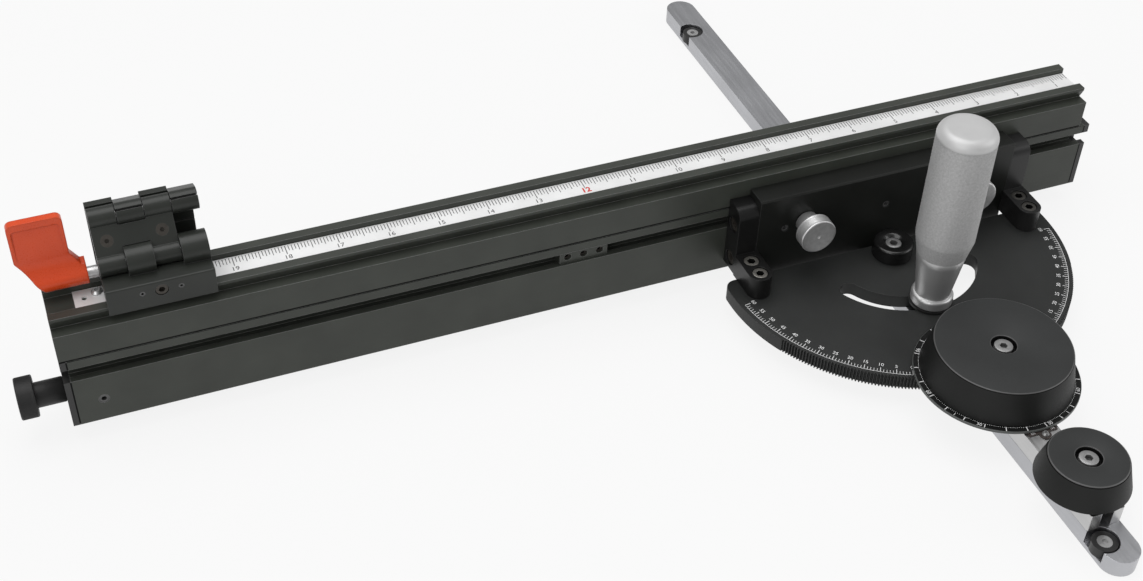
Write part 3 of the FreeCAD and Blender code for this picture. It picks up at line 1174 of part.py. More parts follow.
def stop_block():
    rail_front = FENCE_FRONT_Y + RAIL_TIP_INSET - SLIDE_GAP
    hook_z = STOP_RAIL_TOP_Z - STOP_HOOK_DROP
    step = undercut_step(STOP_RAIL_TIP_Z - hook_z)
    outline = [(STOP_FRONT_Y, hook_z), (rail_front + step, hook_z), (rail_front, STOP_RAIL_TIP_Z),
               (rail_front, STOP_BASE_Z), (STOP_BACK_Y, STOP_BASE_Z), (STOP_BACK_Y, STOP_TOP_Z),
               (STOP_FRONT_Y, STOP_TOP_Z)]
    body = section_along_x(outline, STOP_LEFT_X, STOP_RIGHT_X)
    rim = edges_along(body, X_AXIS, lambda p: p.y < STOP_FRONT_Y + 0.1 and p.z > STOP_TOP_Z - 0.1)
    solids = [body.makeFillet(STOP_EDGE_RADIUS, rim)]
    for index in (1, 3):
        x0, x1 = knuckle_span(index, index, 0)
        solids.append(rod_x(FENCE_MID_Y, LOWER_HINGE_Z, x0, x1, BLOCK_KNUCKLE_RADIUS))
    block = fused(solids)
    tools = [rod_x(FENCE_MID_Y, LOWER_HINGE_Z, STOP_LEFT_X, STOP_RIGHT_X, HINGE_PIN_RADIUS)]
    for index in (0, 2):
        x0, x1 = knuckle_span(index, index, -KNUCKLE_GAP / 2.0)
        tools.append(rod_x(FENCE_MID_Y, LOWER_HINGE_Z, max(x0, STOP_LEFT_X - 1.0), x1,
                           LINK_KNUCKLE_RADIUS + HINGE_GAP))
    tools.append(rod_x(LEVER_Y, LEVER_Z, STOP_LEFT_X, STOP_LEFT_X + LEVER_SHAFT_REACH + HINGE_GAP,
                       LEVER_SHAFT_RADIUS + SHAFT_GAP))
    z = stop_screw_z()
    tools.append(rod_y(STOP_MID_X, z, STOP_FRONT_Y, STOP_BACK_Y, STOP_SCREW_RADIUS))
    tools.append(rod_y(STOP_MID_X, z, STOP_FRONT_Y, STOP_FRONT_Y + STOP_SCREW_RECESS,
                       STOP_SCREW_HEAD_RADIUS + SLIDE_GAP))
    for sign in (-1, 1):
        x = STOP_MID_X + sign * STOP_PIN_PITCH / 2.0
        tools.append(rod_y(x, z, STOP_FRONT_Y, STOP_FRONT_Y + STOP_PIN_LENGTH + RUNNING_GAP, STOP_PIN_RADIUS))
    return cut_all(block, tools)


def stop_screw_z():
    return STOP_BASE_Z + STOP_SCREW_HEIGHT


def clamp_jaw():
    # Hooks under the far rail; the screw draws it to the block.
    front = STOP_BACK_Y + JAW_GAP
    tip = FENCE_BACK_Y - RAIL_TIP_INSET + SLIDE_GAP
    back = tip + JAW_HOOK_WALL
    hook_z = STOP_RAIL_TOP_Z - STOP_HOOK_DROP
    step = undercut_step(STOP_RAIL_TIP_Z - hook_z)
    top = STOP_TOP_Z - 1.2
    outline = [(front, STOP_BASE_Z), (tip, STOP_BASE_Z), (tip, STOP_RAIL_TIP_Z), (tip - step, hook_z),
               (back, hook_z), (back, top), (front, top)]
    x0, x1 = knuckle_span(0, KNUCKLE_COUNT - 1, 1.0)
    jaw = section_along_x(outline, x0, x1)
    return jaw.cut(rod_y(STOP_MID_X, stop_screw_z(), front, back, STOP_SCREW_RADIUS))


def jaw_screw():
    seat = STOP_FRONT_Y + STOP_SCREW_RECESS
    length = FENCE_BACK_Y - RAIL_TIP_INSET + SLIDE_GAP + JAW_HOOK_WALL - seat
    screw = socket_cap_screw(STOP_SCREW_HEAD_RADIUS, STOP_SCREW_HEAD_LENGTH, STOP_SCREW_RADIUS, length)
    return aimed(screw, Vector(STOP_MID_X, seat, stop_screw_z()), -Y_AXIS)


def stop_set_screws():
    screws = []
    for sign in (-1, 1):
        place = Vector(STOP_MID_X + sign * STOP_PIN_PITCH / 2.0, STOP_FRONT_Y + RUNNING_GAP, stop_screw_z())
        screws.append(aimed(set_screw(STOP_PIN_RADIUS, STOP_PIN_LENGTH), place, -Y_AXIS))
    return screws


def link_frame():
    # Length and unit direction from the lower hinge to the upper one, in the (y, z) plane.
    length = math.hypot(UPPER_HINGE_BACK, UPPER_HINGE_RISE)
    return length, UPPER_HINGE_BACK / length, UPPER_HINGE_RISE / length


def link_point(along, across):
    # (y, z) of a point along the link and across it, across counted towards the operator.
    length, dy, dz = link_frame()
    return (FENCE_MID_Y + along * dy - across * dz, LOWER_HINGE_Z + along * dz + across * dy)


def stop_link():
    length = link_frame()[0]
    half = LINK_THICKNESS / 2.0
    x0, x1 = knuckle_span(0, 2, KNUCKLE_GAP / 2.0)
    outline = [link_point(0, -half), link_point(length, -half), link_point(length, half), link_point(0, half)]
    solids = [section_along_x(outline, x0, x1)]
    solids.append(rod_x(FENCE_MID_Y, LOWER_HINGE_Z, x0, x1, LINK_KNUCKLE_RADIUS))
    solids.append(rod_x(UPPER_HINGE_Y, UPPER_HINGE_Z, x0, x1, LINK_KNUCKLE_RADIUS))
    link = fused(solids)
    n0, n1 = knuckle_span(1, 1, -KNUCKLE_GAP / 2.0)
    tools = [rod_x(FENCE_MID_Y, LOWER_HINGE_Z, n0, n1, BLOCK_KNUCKLE_RADIUS + HINGE_GAP)]
    tools.append(rod_x(UPPER_HINGE_Y, UPPER_HINGE_Z, n0, n1, ARM_KNUCKLE_RADIUS + HINGE_GAP))
    tools.append(rod_x(FENCE_MID_Y, LOWER_HINGE_Z, x0, x1, HINGE_PIN_RADIUS + SHAFT_GAP))
    tools.append(rod_x(UPPER_HINGE_Y, UPPER_HINGE_Z, x0, x1, HINGE_PIN_RADIUS))
    for x in link_screw_places():
        tools.append(on_link(link_screw_blank(), x))
    return cut_all(link, tools)


def link_screw_places():
    places = []
    for index in (0, 2):
        x0, x1 = knuckle_span(index, index, 0)
        places.append((x0 + x1) / 2.0)
    return places


def on_link(solid, x):
    # Sets a screw, or its hole, in the middle of the link's outer face.
    length, dy, dz = link_frame()
    y, z = link_point(length / 2.0, LINK_THICKNESS / 2.0)
    return aimed(solid, Vector(x, y, z), Vector(0, -dz, dy))


def link_screw_blank():
    return countersunk_blank(LINK_SCREW_HEAD, LINK_SCREW_RADIUS, LINK_THICKNESS * 0.9)


def link_screws():
    screws = []
    for x in link_screw_places():
        screws.append(on_link(socketed(link_screw_blank(), LINK_SCREW_HEAD, LINK_SCREW_RADIUS), x))
    return screws


def arm_blade(x0, x1):
    # Flat finger beside the fence, a little narrower than the hinge, with one groove across it.
    head_z = UPPER_HINGE_Z - ARM_KNUCKLE_RADIUS
    back = ARM_FRONT_Y + ARM_THICKNESS
    blade = box(x0, x1 - ARM_BLADE_INSET, ARM_FRONT_Y, back, ARM_BOTTOM_Z, head_z)
    corners = edges_along(blade, Y_AXIS, lambda p: p.z < ARM_BOTTOM_Z + 1.0)
    blade = blade.makeFillet(ARM_CORNER_RADIUS, corners)
    groove_z = UPPER_HINGE_Z - ARM_GROOVE_DROP
    groove = box(x0, x1, ARM_FRONT_Y, ARM_FRONT_Y + ARM_GROOVE_DEPTH, groove_z, groove_z + ARM_GROOVE_WIDTH)
    head = box(x0, x1, ARM_FRONT_Y, back, head_z, UPPER_HINGE_Z + ARM_TOP_RISE)
    return [blade.cut(groove), head]


def arm_knuckle(x0, x1):
    # Round eye that grips the pin through a slit, flat below, sloping back to the blade's top.
    eye = rod_x(UPPER_HINGE_Y, UPPER_HINGE_Z, x0, x1, ARM_KNUCKLE_RADIUS)
    slope_top = UPPER_HINGE_Z + ARM_KNUCKLE_RADIUS * 0.92
    back = ARM_FRONT_Y + ARM_THICKNESS
    low = UPPER_HINGE_Z - ARM_LIP_DROP
    neck = section_along_x([(UPPER_HINGE_Y, low), (back, low), (back, UPPER_HINGE_Z + ARM_TOP_RISE),
                            (UPPER_HINGE_Y + ARM_KNUCKLE_RADIUS * 0.39, slope_top),
                            (UPPER_HINGE_Y, slope_top)], x0, x1)
    reach = ARM_KNUCKLE_RADIUS + 1.0
    under = box(x0, x1, UPPER_HINGE_Y - reach, UPPER_HINGE_Y + reach, UPPER_HINGE_Z - reach, low)
    slit = box(x0, x1, UPPER_HINGE_Y - reach, UPPER_HINGE_Y, UPPER_HINGE_Z - ARM_SLIT_WIDTH / 2.0,
               UPPER_HINGE_Z + ARM_SLIT_WIDTH / 2.0)
    slit.rotate(Vector(0, UPPER_HINGE_Y, UPPER_HINGE_Z), X_AXIS, -ARM_SLIT_ANGLE)
    return fused([eye.cut(under), neck]).cut(slit)


def flip_arm():
    # Two knuckles and, behind the link's knuckles, two tabs that stand above the blade's top.
    x0, x1 = knuckle_span(0, KNUCKLE_COUNT - 1, 0)
    solids = arm_blade(x0, x1)
    tools = [rod_x(UPPER_HINGE_Y, UPPER_HINGE_Z, x0, x1, HINGE_PIN_RADIUS + SHAFT_GAP)]
    for index in (1, 3):
        k0, k1 = knuckle_span(index, index, KNUCKLE_GAP / 2.0)
        solids.append(arm_knuckle(k0, min(k1 + KNUCKLE_GAP, x1)))
    for index in (0, 2):
        k0, k1 = knuckle_span(index, index, -KNUCKLE_GAP / 2.0)
        solids.append(box(max(k0, x0), k1, ARM_FRONT_Y, ARM_FRONT_Y + ARM_THICKNESS, UPPER_HINGE_Z,
                          UPPER_HINGE_Z + ARM_TAB_RISE))
        tools.append(rod_x(UPPER_HINGE_Y, UPPER_HINGE_Z, k0, k1, LINK_KNUCKLE_RADIUS + HINGE_GAP))
    return cut_all(fused(solids), tools)


def hinge_pin(y, z):
    x0, x1 = knuckle_span(0, KNUCKLE_COUNT - 1, 0.5)
    return rod_x(y, z, x0, x1, HINGE_PIN_RADIUS)


# Clamping lever of the stop

def lever_shaft():
    return rod_x(LEVER_Y, LEVER_Z, LEVER_RIGHT_X - LEVER_SOCKET_DEPTH, STOP_LEFT_X + LEVER_SHAFT_REACH,
                 LEVER_SHAFT_RADIUS)


def lever_section(x0, x1):
    # (y, z) section: a round hub, a hollow trough above it and a blade that leans slightly forward.
    front = LEVER_HUB_RADIUS - PADDLE_THICKNESS
    trough_y = front - PADDLE_TROUGH_RADIUS
    trough_z = math.sqrt((LEVER_HUB_RADIUS + PADDLE_TROUGH_RADIUS) ** 2 - trough_y ** 2)
    touch = LEVER_HUB_RADIUS / (LEVER_HUB_RADIUS + PADDLE_TROUGH_RADIUS)
    start = math.atan2(trough_z * touch, trough_y * touch)
    middle = (start - math.pi) / 2.0 - math.radians(60.0)

    def at(y, z):
        return Vector(x0, LEVER_Y + y, LEVER_Z + z)

    hub_start = at(trough_y * touch, trough_z * touch)
    hub_middle = at(LEVER_HUB_RADIUS * math.cos(middle), LEVER_HUB_RADIUS * math.sin(middle))
    hub_end = at(LEVER_HUB_RADIUS, 0)
    trough_end = at(front, trough_z)
    bend = math.atan2(-trough_z, -trough_y) / 2.0
    trough_middle = at(trough_y + PADDLE_TROUGH_RADIUS * math.cos(bend),
                       trough_z + PADDLE_TROUGH_RADIUS * math.sin(bend))
    tip_front = at(front - PADDLE_LEAN, PADDLE_TOP_RISE)
    tip_back = at(LEVER_HUB_RADIUS - PADDLE_LEAN, PADDLE_TOP_RISE)
    back_bend = at(LEVER_HUB_RADIUS, trough_z)
    edges = [Part.Arc(hub_start, hub_middle, hub_end).toShape()]
    edges.append(Part.makeLine(hub_end, back_bend))
    edges.append(Part.makeLine(back_bend, tip_back))
    edges.append(Part.makeLine(tip_back, tip_front))
    edges.append(Part.makeLine(tip_front, trough_end))
    edges.append(Part.Arc(trough_end, trough_middle, hub_start).toShape())
    return Part.Face(Part.Wire(edges)).extrude(Vector(x1 - x0, 0, 0))


def lever_outline():
    # (x, z) outline: upright paddle that narrows on a slant into the hub.
    left = LEVER_RIGHT_X - PADDLE_OFFSET - PADDLE_WIDTH
    right = LEVER_RIGHT_X - PADDLE_OFFSET
    top = LEVER_Z + PADDLE_TOP_RISE
    elbow = LEVER_Z + PADDLE_ELBOW_RISE
    low = LEVER_Z - LEVER_HUB_RADIUS
    shoulder = LEVER_Z + LEVER_SHOULDER_RISE
    points = [(left, elbow), (LEVER_RIGHT_X - LEVER_HUB_LENGTH, low), (LEVER_RIGHT_X, low),
              (LEVER_RIGHT_X, shoulder), (LEVER_RIGHT_X - PADDLE_OFFSET / 3.0, shoulder),
              (right, elbow), (right, top), (left, top)]
    prism = outline_along_y(points, LEVER_Y - LEVER_HUB_RADIUS * 2.0, LEVER_Y + LEVER_HUB_RADIUS * 2.0)
    corners = edges_along(prism, Y_AXIS, lambda p: p.z > shoulder + 0.1 or p.x < left + 0.1)
    return prism.makeFillet(PADDLE_CORNER_RADIUS, corners)


def lever_panel(lever):
    # What the recess takes away: nothing at its foot, most under its upper edge.
    left = LEVER_RIGHT_X - PADDLE_OFFSET - PADDLE_WIDTH + PANEL_SIDE_RIM
    right = LEVER_RIGHT_X - PADDLE_OFFSET - PANEL_SIDE_RIM
    foot = LEVER_Z + PADDLE_ELBOW_RISE
    top = LEVER_Z + PADDLE_TOP_RISE - PANEL_TOP_RIM
    window = box(left, right, LEVER_Y - LEVER_HUB_RADIUS * 2.0, LEVER_Y + LEVER_HUB_RADIUS * 2.0, foot, top)
    corners = edges_along(window, Y_AXIS, lambda p: p.z > top - 0.1)
    window = window.makeFillet(PANEL_CORNER_RADIUS, corners)
    tilted = lever.copy()
    pivot = Vector(0, LEVER_Y + LEVER_HUB_RADIUS - PADDLE_THICKNESS, foot)
    tilted.rotate(pivot, X_AXIS, -PANEL_TILT)
    return lever.common(window).cut(tilted)


def clamp_lever():
    left = LEVER_RIGHT_X - PADDLE_OFFSET - PADDLE_WIDTH - 1.0
    lever = lever_section(left, LEVER_RIGHT_X).common(lever_outline())
    lever = lever.cut(lever_panel(lever))
    socket = rod_x(LEVER_Y, LEVER_Z, LEVER_RIGHT_X - LEVER_SOCKET_DEPTH, LEVER_RIGHT_X, LEVER_SHAFT_RADIUS)
    return lever.cut(socket)


def build():
    os.makedirs("parts", exist_ok=True)
    save("miter_bar", [miter_bar()])
    save("glide_discs", glide_discs())
    save("glide_screws", glide_screws())
    save("guide_pin", [guide_pin()])
    save("pivot_bushing", [pivot_bushing()])
    save("pivot_screw", [pivot_screw()])
    save("protractor_plate", [protractor_plate()])
    save("handle_washer", [handle_washer()])
    save("handle_stud", [handle_stud()])
    save("clamp_handle", [clamp_handle()])
    save("micro_block", [micro_block()])
    save("pointer_plate", [pointer_plate()])
    save("pointer_screw", [pointer_screw()])
    save("pinion", [pinion()])
    save("wheel_spindle", [wheel_spindle()])
    save("index_dial", [index_dial()])
    save("micro_wheel", [micro_wheel()])
    save("wheel_screw", [wheel_screw()])
    save("lock_washer", [lock_washer()])
    save("lock_knob", [lock_knob()])
    save("lock_screw", [lock_screw()])
    save("fence_rail", [fence_rail()])
    save("left_end_cap", [left_end_cap()])
    save("right_end_cap", [right_end_cap()])
    save("cap_set_screw", [cap_set_screw()])
    save("end_thumbscrew", [end_thumbscrew()])
    save("slot_stop", [slot_stop()])
    save("slot_stop_screws", slot_stop_screws())
    save("fence_extension", [fence_extension()])
    save("rule_strip", [rule_strip()])
    save("rule_screw", [rule_screw()])
    save("carrier_plate", [carrier_plate()])
    save("carrier_set_screws", carrier_set_screws())
    save("left_bracket", [bracket(-1)])
    save("right_bracket", [bracket(1)])
    save("bracket_foot_screws", bracket_foot_screws())
    save("bracket_end_screws", bracket_end_screws())
    save("slot_nuts", slot_nuts())
    save("left_thumbscrew", [thumbscrew(-THUMB_X)])
    save("right_thumbscrew", [thumbscrew(THUMB_X)])
    save("stop_block", [stop_block()])
    save("clamp_jaw", [clamp_jaw()])
    save("jaw_screw", [jaw_screw()])
    save("stop_set_screws", stop_set_screws())
    save("lower_hinge_pin", [hinge_pin(FENCE_MID_Y, LOWER_HINGE_Z)])
    save("upper_hinge_pin", [hinge_pin(UPPER_HINGE_Y, UPPER_HINGE_Z)])
    save("stop_link", [stop_link()])
    save("link_screws", link_screws())
    save("flip_arm", [flip_arm()])
    save("lever_shaft", [lever_shaft()])
    save("clamp_lever", [clamp_lever()])


build()
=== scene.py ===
import math

import bmesh
import bpy
from mathutils import Matrix, Vector


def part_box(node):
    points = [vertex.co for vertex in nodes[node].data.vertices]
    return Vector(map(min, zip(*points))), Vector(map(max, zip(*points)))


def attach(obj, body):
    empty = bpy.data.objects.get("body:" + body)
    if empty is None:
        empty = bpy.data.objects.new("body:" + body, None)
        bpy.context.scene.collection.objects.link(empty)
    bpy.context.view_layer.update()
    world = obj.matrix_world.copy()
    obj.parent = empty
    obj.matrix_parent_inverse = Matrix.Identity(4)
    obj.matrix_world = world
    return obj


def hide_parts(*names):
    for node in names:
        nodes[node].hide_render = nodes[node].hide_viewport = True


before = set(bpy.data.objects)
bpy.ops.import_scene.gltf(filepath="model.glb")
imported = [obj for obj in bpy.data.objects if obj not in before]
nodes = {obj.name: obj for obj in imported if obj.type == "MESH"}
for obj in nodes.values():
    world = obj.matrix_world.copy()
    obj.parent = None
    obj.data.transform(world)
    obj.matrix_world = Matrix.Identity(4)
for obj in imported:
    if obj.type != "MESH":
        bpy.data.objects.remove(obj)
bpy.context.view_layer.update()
MM = 0.001


def span(node):
    """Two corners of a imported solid's box, in millimetres."""
    low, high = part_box(node)
    return [v / MM for v in low], [v / MM for v in high]


def centre_of(node):
    low, high = span(node)
    return [(a + b) / 2 for a, b in zip(low, high)]


# Materials

EVEN = (1.0, 1.0, 1.0)
GREEN = (0.91, 1.0, 0.84)
FAINT_GREEN = (0.95, 1.0, 0.97)
WARM = (1.0, 0.96, 0.88)
BROWN = (1.0, 0.90, 0.78)
NOISE_LOW, NOISE_HIGH = 0.3, 0.7
# Width in millimetres of the highlight painted along sharp edges
EDGE_HIGHLIGHT_WIDTH = 0.4


class Shader:
    """One node material built up step by step."""

    def __init__(self, name, roughness, metallic=0.0, specular=0.5):
        self.mat = bpy.data.materials.new(name)
        self.mat.use_nodes = True
        self.tree = self.mat.node_tree
        self.bsdf = next(n for n in self.tree.nodes if n.type == "BSDF_PRINCIPLED")
        self.bsdf.inputs["Roughness"].default_value = roughness
        self.bsdf.inputs["Metallic"].default_value = metallic
        self.bsdf.inputs["Specular IOR Level"].default_value = specular
        self.where = self.node("ShaderNodeTexCoord")

    def node(self, kind, sockets=None, **settings):
        """Adds a node; sockets gives the values of its inputs, settings its own properties."""
        made = self.tree.nodes.new(kind)
        for key, value in settings.items():
            setattr(made, key, value)
        for key, value in (sockets or {}).items():
            made.inputs[key].default_value = value
        return made

    def link(self, a, b):
        self.tree.links.new(a, b)

    def noise(self, stretch, scale, detail):
        """Noise in object space; stretch gives the scale along X, Y and Z."""
        mapping = self.node("ShaderNodeMapping", {"Scale": stretch})
        noise = self.node("ShaderNodeTexNoise", {"Scale": scale, "Detail": detail})
        self.link(self.where.outputs["Object"], mapping.inputs["Vector"])
        self.link(mapping.outputs["Vector"], noise.inputs["Vector"])
        return noise.outputs["Fac"]

    def ranged(self, value, low, high, from_low=NOISE_LOW, from_high=NOISE_HIGH):
        limits = {"From Min": from_low, "From Max": from_high, "To Min": low, "To Max": high}
        mapped = self.node("ShaderNodeMapRange", limits)
        self.link(value, mapped.inputs["Value"])
        return mapped.outputs["Result"]

    def colour(self, value, dark, light):
        ramp = self.node("ShaderNodeValToRGB")
        stops = ramp.color_ramp.elements
        for stop, position, tone in zip(stops, (NOISE_LOW, NOISE_HIGH), (dark, light)):
            stop.position = position
            stop.color = (*tone, 1)
        self.link(value, ramp.inputs["Fac"])
        self.link(ramp.outputs["Color"], self.bsdf.inputs["Base Color"])

    def bevelled_normal(self, radius, samples):
        """The normal with edges rounded by a radius in millimetres."""
        bevel = self.node("ShaderNodeBevel", {"Radius": radius * MM}, samples=samples)
        return bevel.outputs["Normal"]

    def worn_edges(self, width, level):
        """Paints a highlight: lightens the colour along the sharp edges, over a width in
        millimetres.
        """
        face = self.node("ShaderNodeNewGeometry")
        turn = self.node("ShaderNodeVectorMath", operation="DOT_PRODUCT")
        self.link(self.bevelled_normal(width, 6), turn.inputs[0])
        self.link(face.outputs["Normal"], turn.inputs[1])
        mix = self.node("ShaderNodeMix", data_type="RGBA")
        plain_input, highlight_input = [socket for socket in mix.inputs if socket.type == "RGBA"]
        result = next(socket for socket in mix.outputs if socket.type == "RGBA")
        base = self.bsdf.inputs["Base Color"]
        self.link(self.ranged(turn.outputs["Value"], 1.0, 0.0, 0.78, 0.98), mix.inputs[0])
        self.link(base.links[0].from_socket, plain_input)
        highlight_input.default_value = (*grey(level), 1)
        self.link(result, base)

    def rough(self, value, low, high):
        self.link(self.ranged(value, low, high), self.bsdf.inputs["Roughness"])

    def bump(self, value, height, edge=0.0):
        """Relief of a height in millimetres, with edges rounded by a radius in millimetres."""
        bump = self.node("ShaderNodeBump", {"Strength": 1.0, "Distance": height * MM})
        self.link(value, bump.inputs["Height"])
        if edge > 0:
            self.link(self.bevelled_normal(edge, 4), bump.inputs["Normal"])
        self.link(bump.outputs["Normal"], self.bsdf.inputs["Normal"])


def grey(value, tint=EVEN):
    return tuple(value * t for t in tint)


def anodised(name, level, roughness, specular, stretch=EVEN, tint=FAINT_GREEN, edge_highlight_level=0.0):
    """Black anodised aluminium; stretch draws its fine grain out along one axis.
    Its last argument, when above zero, is the colour of a highlight painted along the sharp edges.
    """
    shader = Shader(name, roughness, specular=specular)
    fine = shader.noise(stretch, 2500.0, 2.0)
    cloud = shader.noise(EVEN, 45.0, 4.0)
    shader.colour(cloud, grey(level * 0.86, tint), grey(level * 1.14, tint))
    if edge_highlight_level > 0:
        shader.worn_edges(EDGE_HIGHLIGHT_WIDTH, edge_highlight_level)
    shader.rough(fine, roughness - 0.05, roughness + 0.06)
    shader.bump(fine, 0.004, edge=0.35)
    return shader.mat


def brushed(name, level, roughness, stretch, tint=EVEN):
    """Bare metal with streaks along the axis of the smallest stretch."""
    shader = Shader(name, roughness, metallic=1.0)
    streak = shader.noise(stretch, 900.0, 4.0)
    cloud = shader.noise(EVEN, 30.0, 3.0)
    shader.colour(cloud, grey(level * 0.93, tint), grey(level * 1.05, tint))
    shader.rough(streak, roughness - 0.06, roughness + 0.08)
    shader.bump(streak, 0.006, edge=0.4)
    return shader.mat


def blasted(name, level, roughness, metallic, cloud_scale=60.0, spread=0.05):
    """Matt blasted metal; a fine, wide-spread cloud gives it a speckle."""
    shader = Shader(name, roughness, metallic=metallic)
    grain = shader.noise(EVEN, 3200.0, 2.0)
    cloud = shader.noise(EVEN, cloud_scale, 3.0)
    shader.colour(cloud, grey(level * (1.0 - spread)), grey(level * (1.0 + spread)))
    shader.rough(grain, roughness - 0.04, roughness + 0.06)
    shader.bump(grain, 0.012)
    return shader.mat


def turned_metal(name, level, roughness, metallic, edge=0.25, stretch=EVEN, tint=EVEN):
    """Machined face with fine marks and a faint cloudy sheen."""
    shader = Shader(name, roughness, metallic=metallic)
    cloud = shader.noise(EVEN, 400.0, 3.0)
    fine = shader.noise(stretch, 1500.0, 3.0)
    shader.colour(cloud, grey(level * 0.86, tint), grey(level * 1.08, tint))
    shader.rough(fine, roughness - 0.07, roughness + 0.08)
    shader.bump(fine, 0.006, edge=edge)
    return shader.mat


def moulded(name, dark, light, roughness, grain, specular=0.5, edge=0.0):
    """Plastic or painted metal between two colours, with a grain's height in millimetres."""
    shader = Shader(name, roughness, specular=specular)
    fine = shader.noise(EVEN, 1700.0, 3.0)
    cloud = shader.noise(EVEN, 35.0, 3.0)
    shader.colour(cloud, dark, light)
    shader.rough(fine, roughness - 0.05, roughness + 0.05)
    shader.bump(fine, grain, edge=edge)
    return shader.mat


def print_ink(name, level, tint=EVEN):
    shader = Shader(name, 0.55)
    cloud = shader.noise(EVEN, 2500.0, 2.0)
    shader.colour(cloud, grey(level * 0.85, tint), grey(level, tint))
    return shader.mat


# The last number of each is the colour of a highlight painted along its sharp edges
extrusion = anodised("anodised_extrusion", 0.042, 0.40, 0.34, (0.02, 1.0, 1.0), GREEN, 0.24)
machined = anodised("anodised_machined", 0.021, 0.36, 0.36, tint=(0.90, 1.0, 0.86), edge_highlight_level=0.08)
plate_coat = anodised("anodised_plate", 0.020, 0.48, 0.32, edge_highlight_level=0.06)
carrier_coat = anodised("anodised_carrier", 0.011, 0.34, 0.22, tint=(0.94, 1.0, 0.90), edge_highlight_level=0.05)
dial_coat = anodised("dial_coat", 0.006, 0.45, 0.18)
dial_edge = anodised("dial_edge", 0.09, 0.40, 0.50)

bar_metal = brushed("brushed_bar", 0.50, 0.34, (1.0, 0.04, 1.0), (0.98, 0.99, 1.03))
block_metal = brushed("brushed_block", 0.58, 0.34, (1.0, 0.05, 1.0))
handle_smooth = blasted("blasted_handle", 0.54, 0.40, 0.75)
knurl_metal = blasted("knurled_handle", 0.47, 0.58, 0.35, 950.0, 0.12)
handle_crown = blasted("handle_crown", 0.54, 0.50, 0.42)
thumb_rim = blasted("thumb_rim", 0.66, 0.40, 0.8)
rule_white = blasted("rule_face", 0.80, 0.45, 0.25)

thumb_face = turned_metal("thumb_face", 0.42, 0.42, 0.7)
shaft_metal = turned_metal("shaft_metal", 0.60, 0.34, 0.9, stretch=(0.2, 1.0, 1.0))
screw_metal = turned_metal("screw_steel", 0.50, 0.34, 0.8, 0.08)
screw_face = turned_metal("screw_face", 0.31, 0.40, 0.7, 0.0)
foot_face = turned_metal("foot_face", 0.18, 0.40, 0.7, 0.0, tint=WARM)
# Painted shade: a darker copy of foot_face for the right pair of foot screws
foot_shade = turned_metal("foot_shade", 0.075, 0.40, 0.6, 0.0, tint=WARM)
dark_screw = turned_metal("dark_screw", 0.055, 0.42, 0.6, 0.08, tint=BROWN)
grub_screw = turned_metal("grub_screw", 0.11, 0.42, 0.7, 0.05)
hidden_grub = turned_metal("hidden_grub", 0.10, 0.50, 0.5, 0.05)

wheel_black = moulded("moulded_black", (0.0085, 0.0088, 0.0085), (0.0115, 0.012, 0.0115),
                      0.52, 0.014, specular=0.24)
# Painted light: a lighter, bluish copy of moulded_black for the top faces of wheel and lock knob
painted_lit_top = moulded("moulded_lit_top", (0.019, 0.020, 0.020), (0.025, 0.0265, 0.0265),
                    0.46, 0.014, specular=0.36)
# Painted shade: near-black for the shade in counterbores, in the foot screws' sockets and in the
# gaps on the fence
painted_shade_black = moulded("painted_shade_black", grey(0.003), grey(0.005), 0.7, 0.004, specular=0.1)
# Painted highlight: a lighter black for the rounded rims of wheel and lock knob
rim_highlight_black = moulded("rim_highlight_black", grey(0.050), grey(0.075), 0.40, 0.01)
knob_black = moulded("knurled_black", grey(0.008), grey(0.014), 0.48, 0.02, specular=0.35)
gloss_black = moulded("gloss_black", grey(0.006), grey(0.009), 0.34, 0.003, 0.26, edge=0.5)
# Painted light: a lighter copy of gloss_black for the right bracket, where more light falls
lit_bracket_black = moulded("lit_bracket_black", grey(0.012), grey(0.017), 0.38, 0.003, 0.34, edge=0.5)
boss_black = moulded("boss_black", grey(0.005), grey(0.008), 0.22, 0.002, edge=0.3)
# Painted shade inside the screws' hexagon sockets
painted_socket_shade = moulded("painted_socket_shade", grey(0.050), grey(0.110), 0.6, 0.01)
dark_plastic = moulded("dark_plastic", grey(0.014), grey(0.022), 0.36, 0.01, specular=0.45)
dark_plate = moulded("dark_plate", (0.030, 0.022, 0.020), (0.045, 0.034, 0.030),
                     0.4, 0.004, edge=0.2)
red = moulded("red_plastic", (0.58, 0.053, 0.009), (0.66, 0.070, 0.013),
              0.30, 0.003, specular=0.42, edge=1.0)

white_ink = print_ink("white_ink", 0.85)
black_ink = print_ink("black_ink", 0.03)
red_ink = print_ink("red_ink", 0.60, (1.0, 0.05, 0.03))

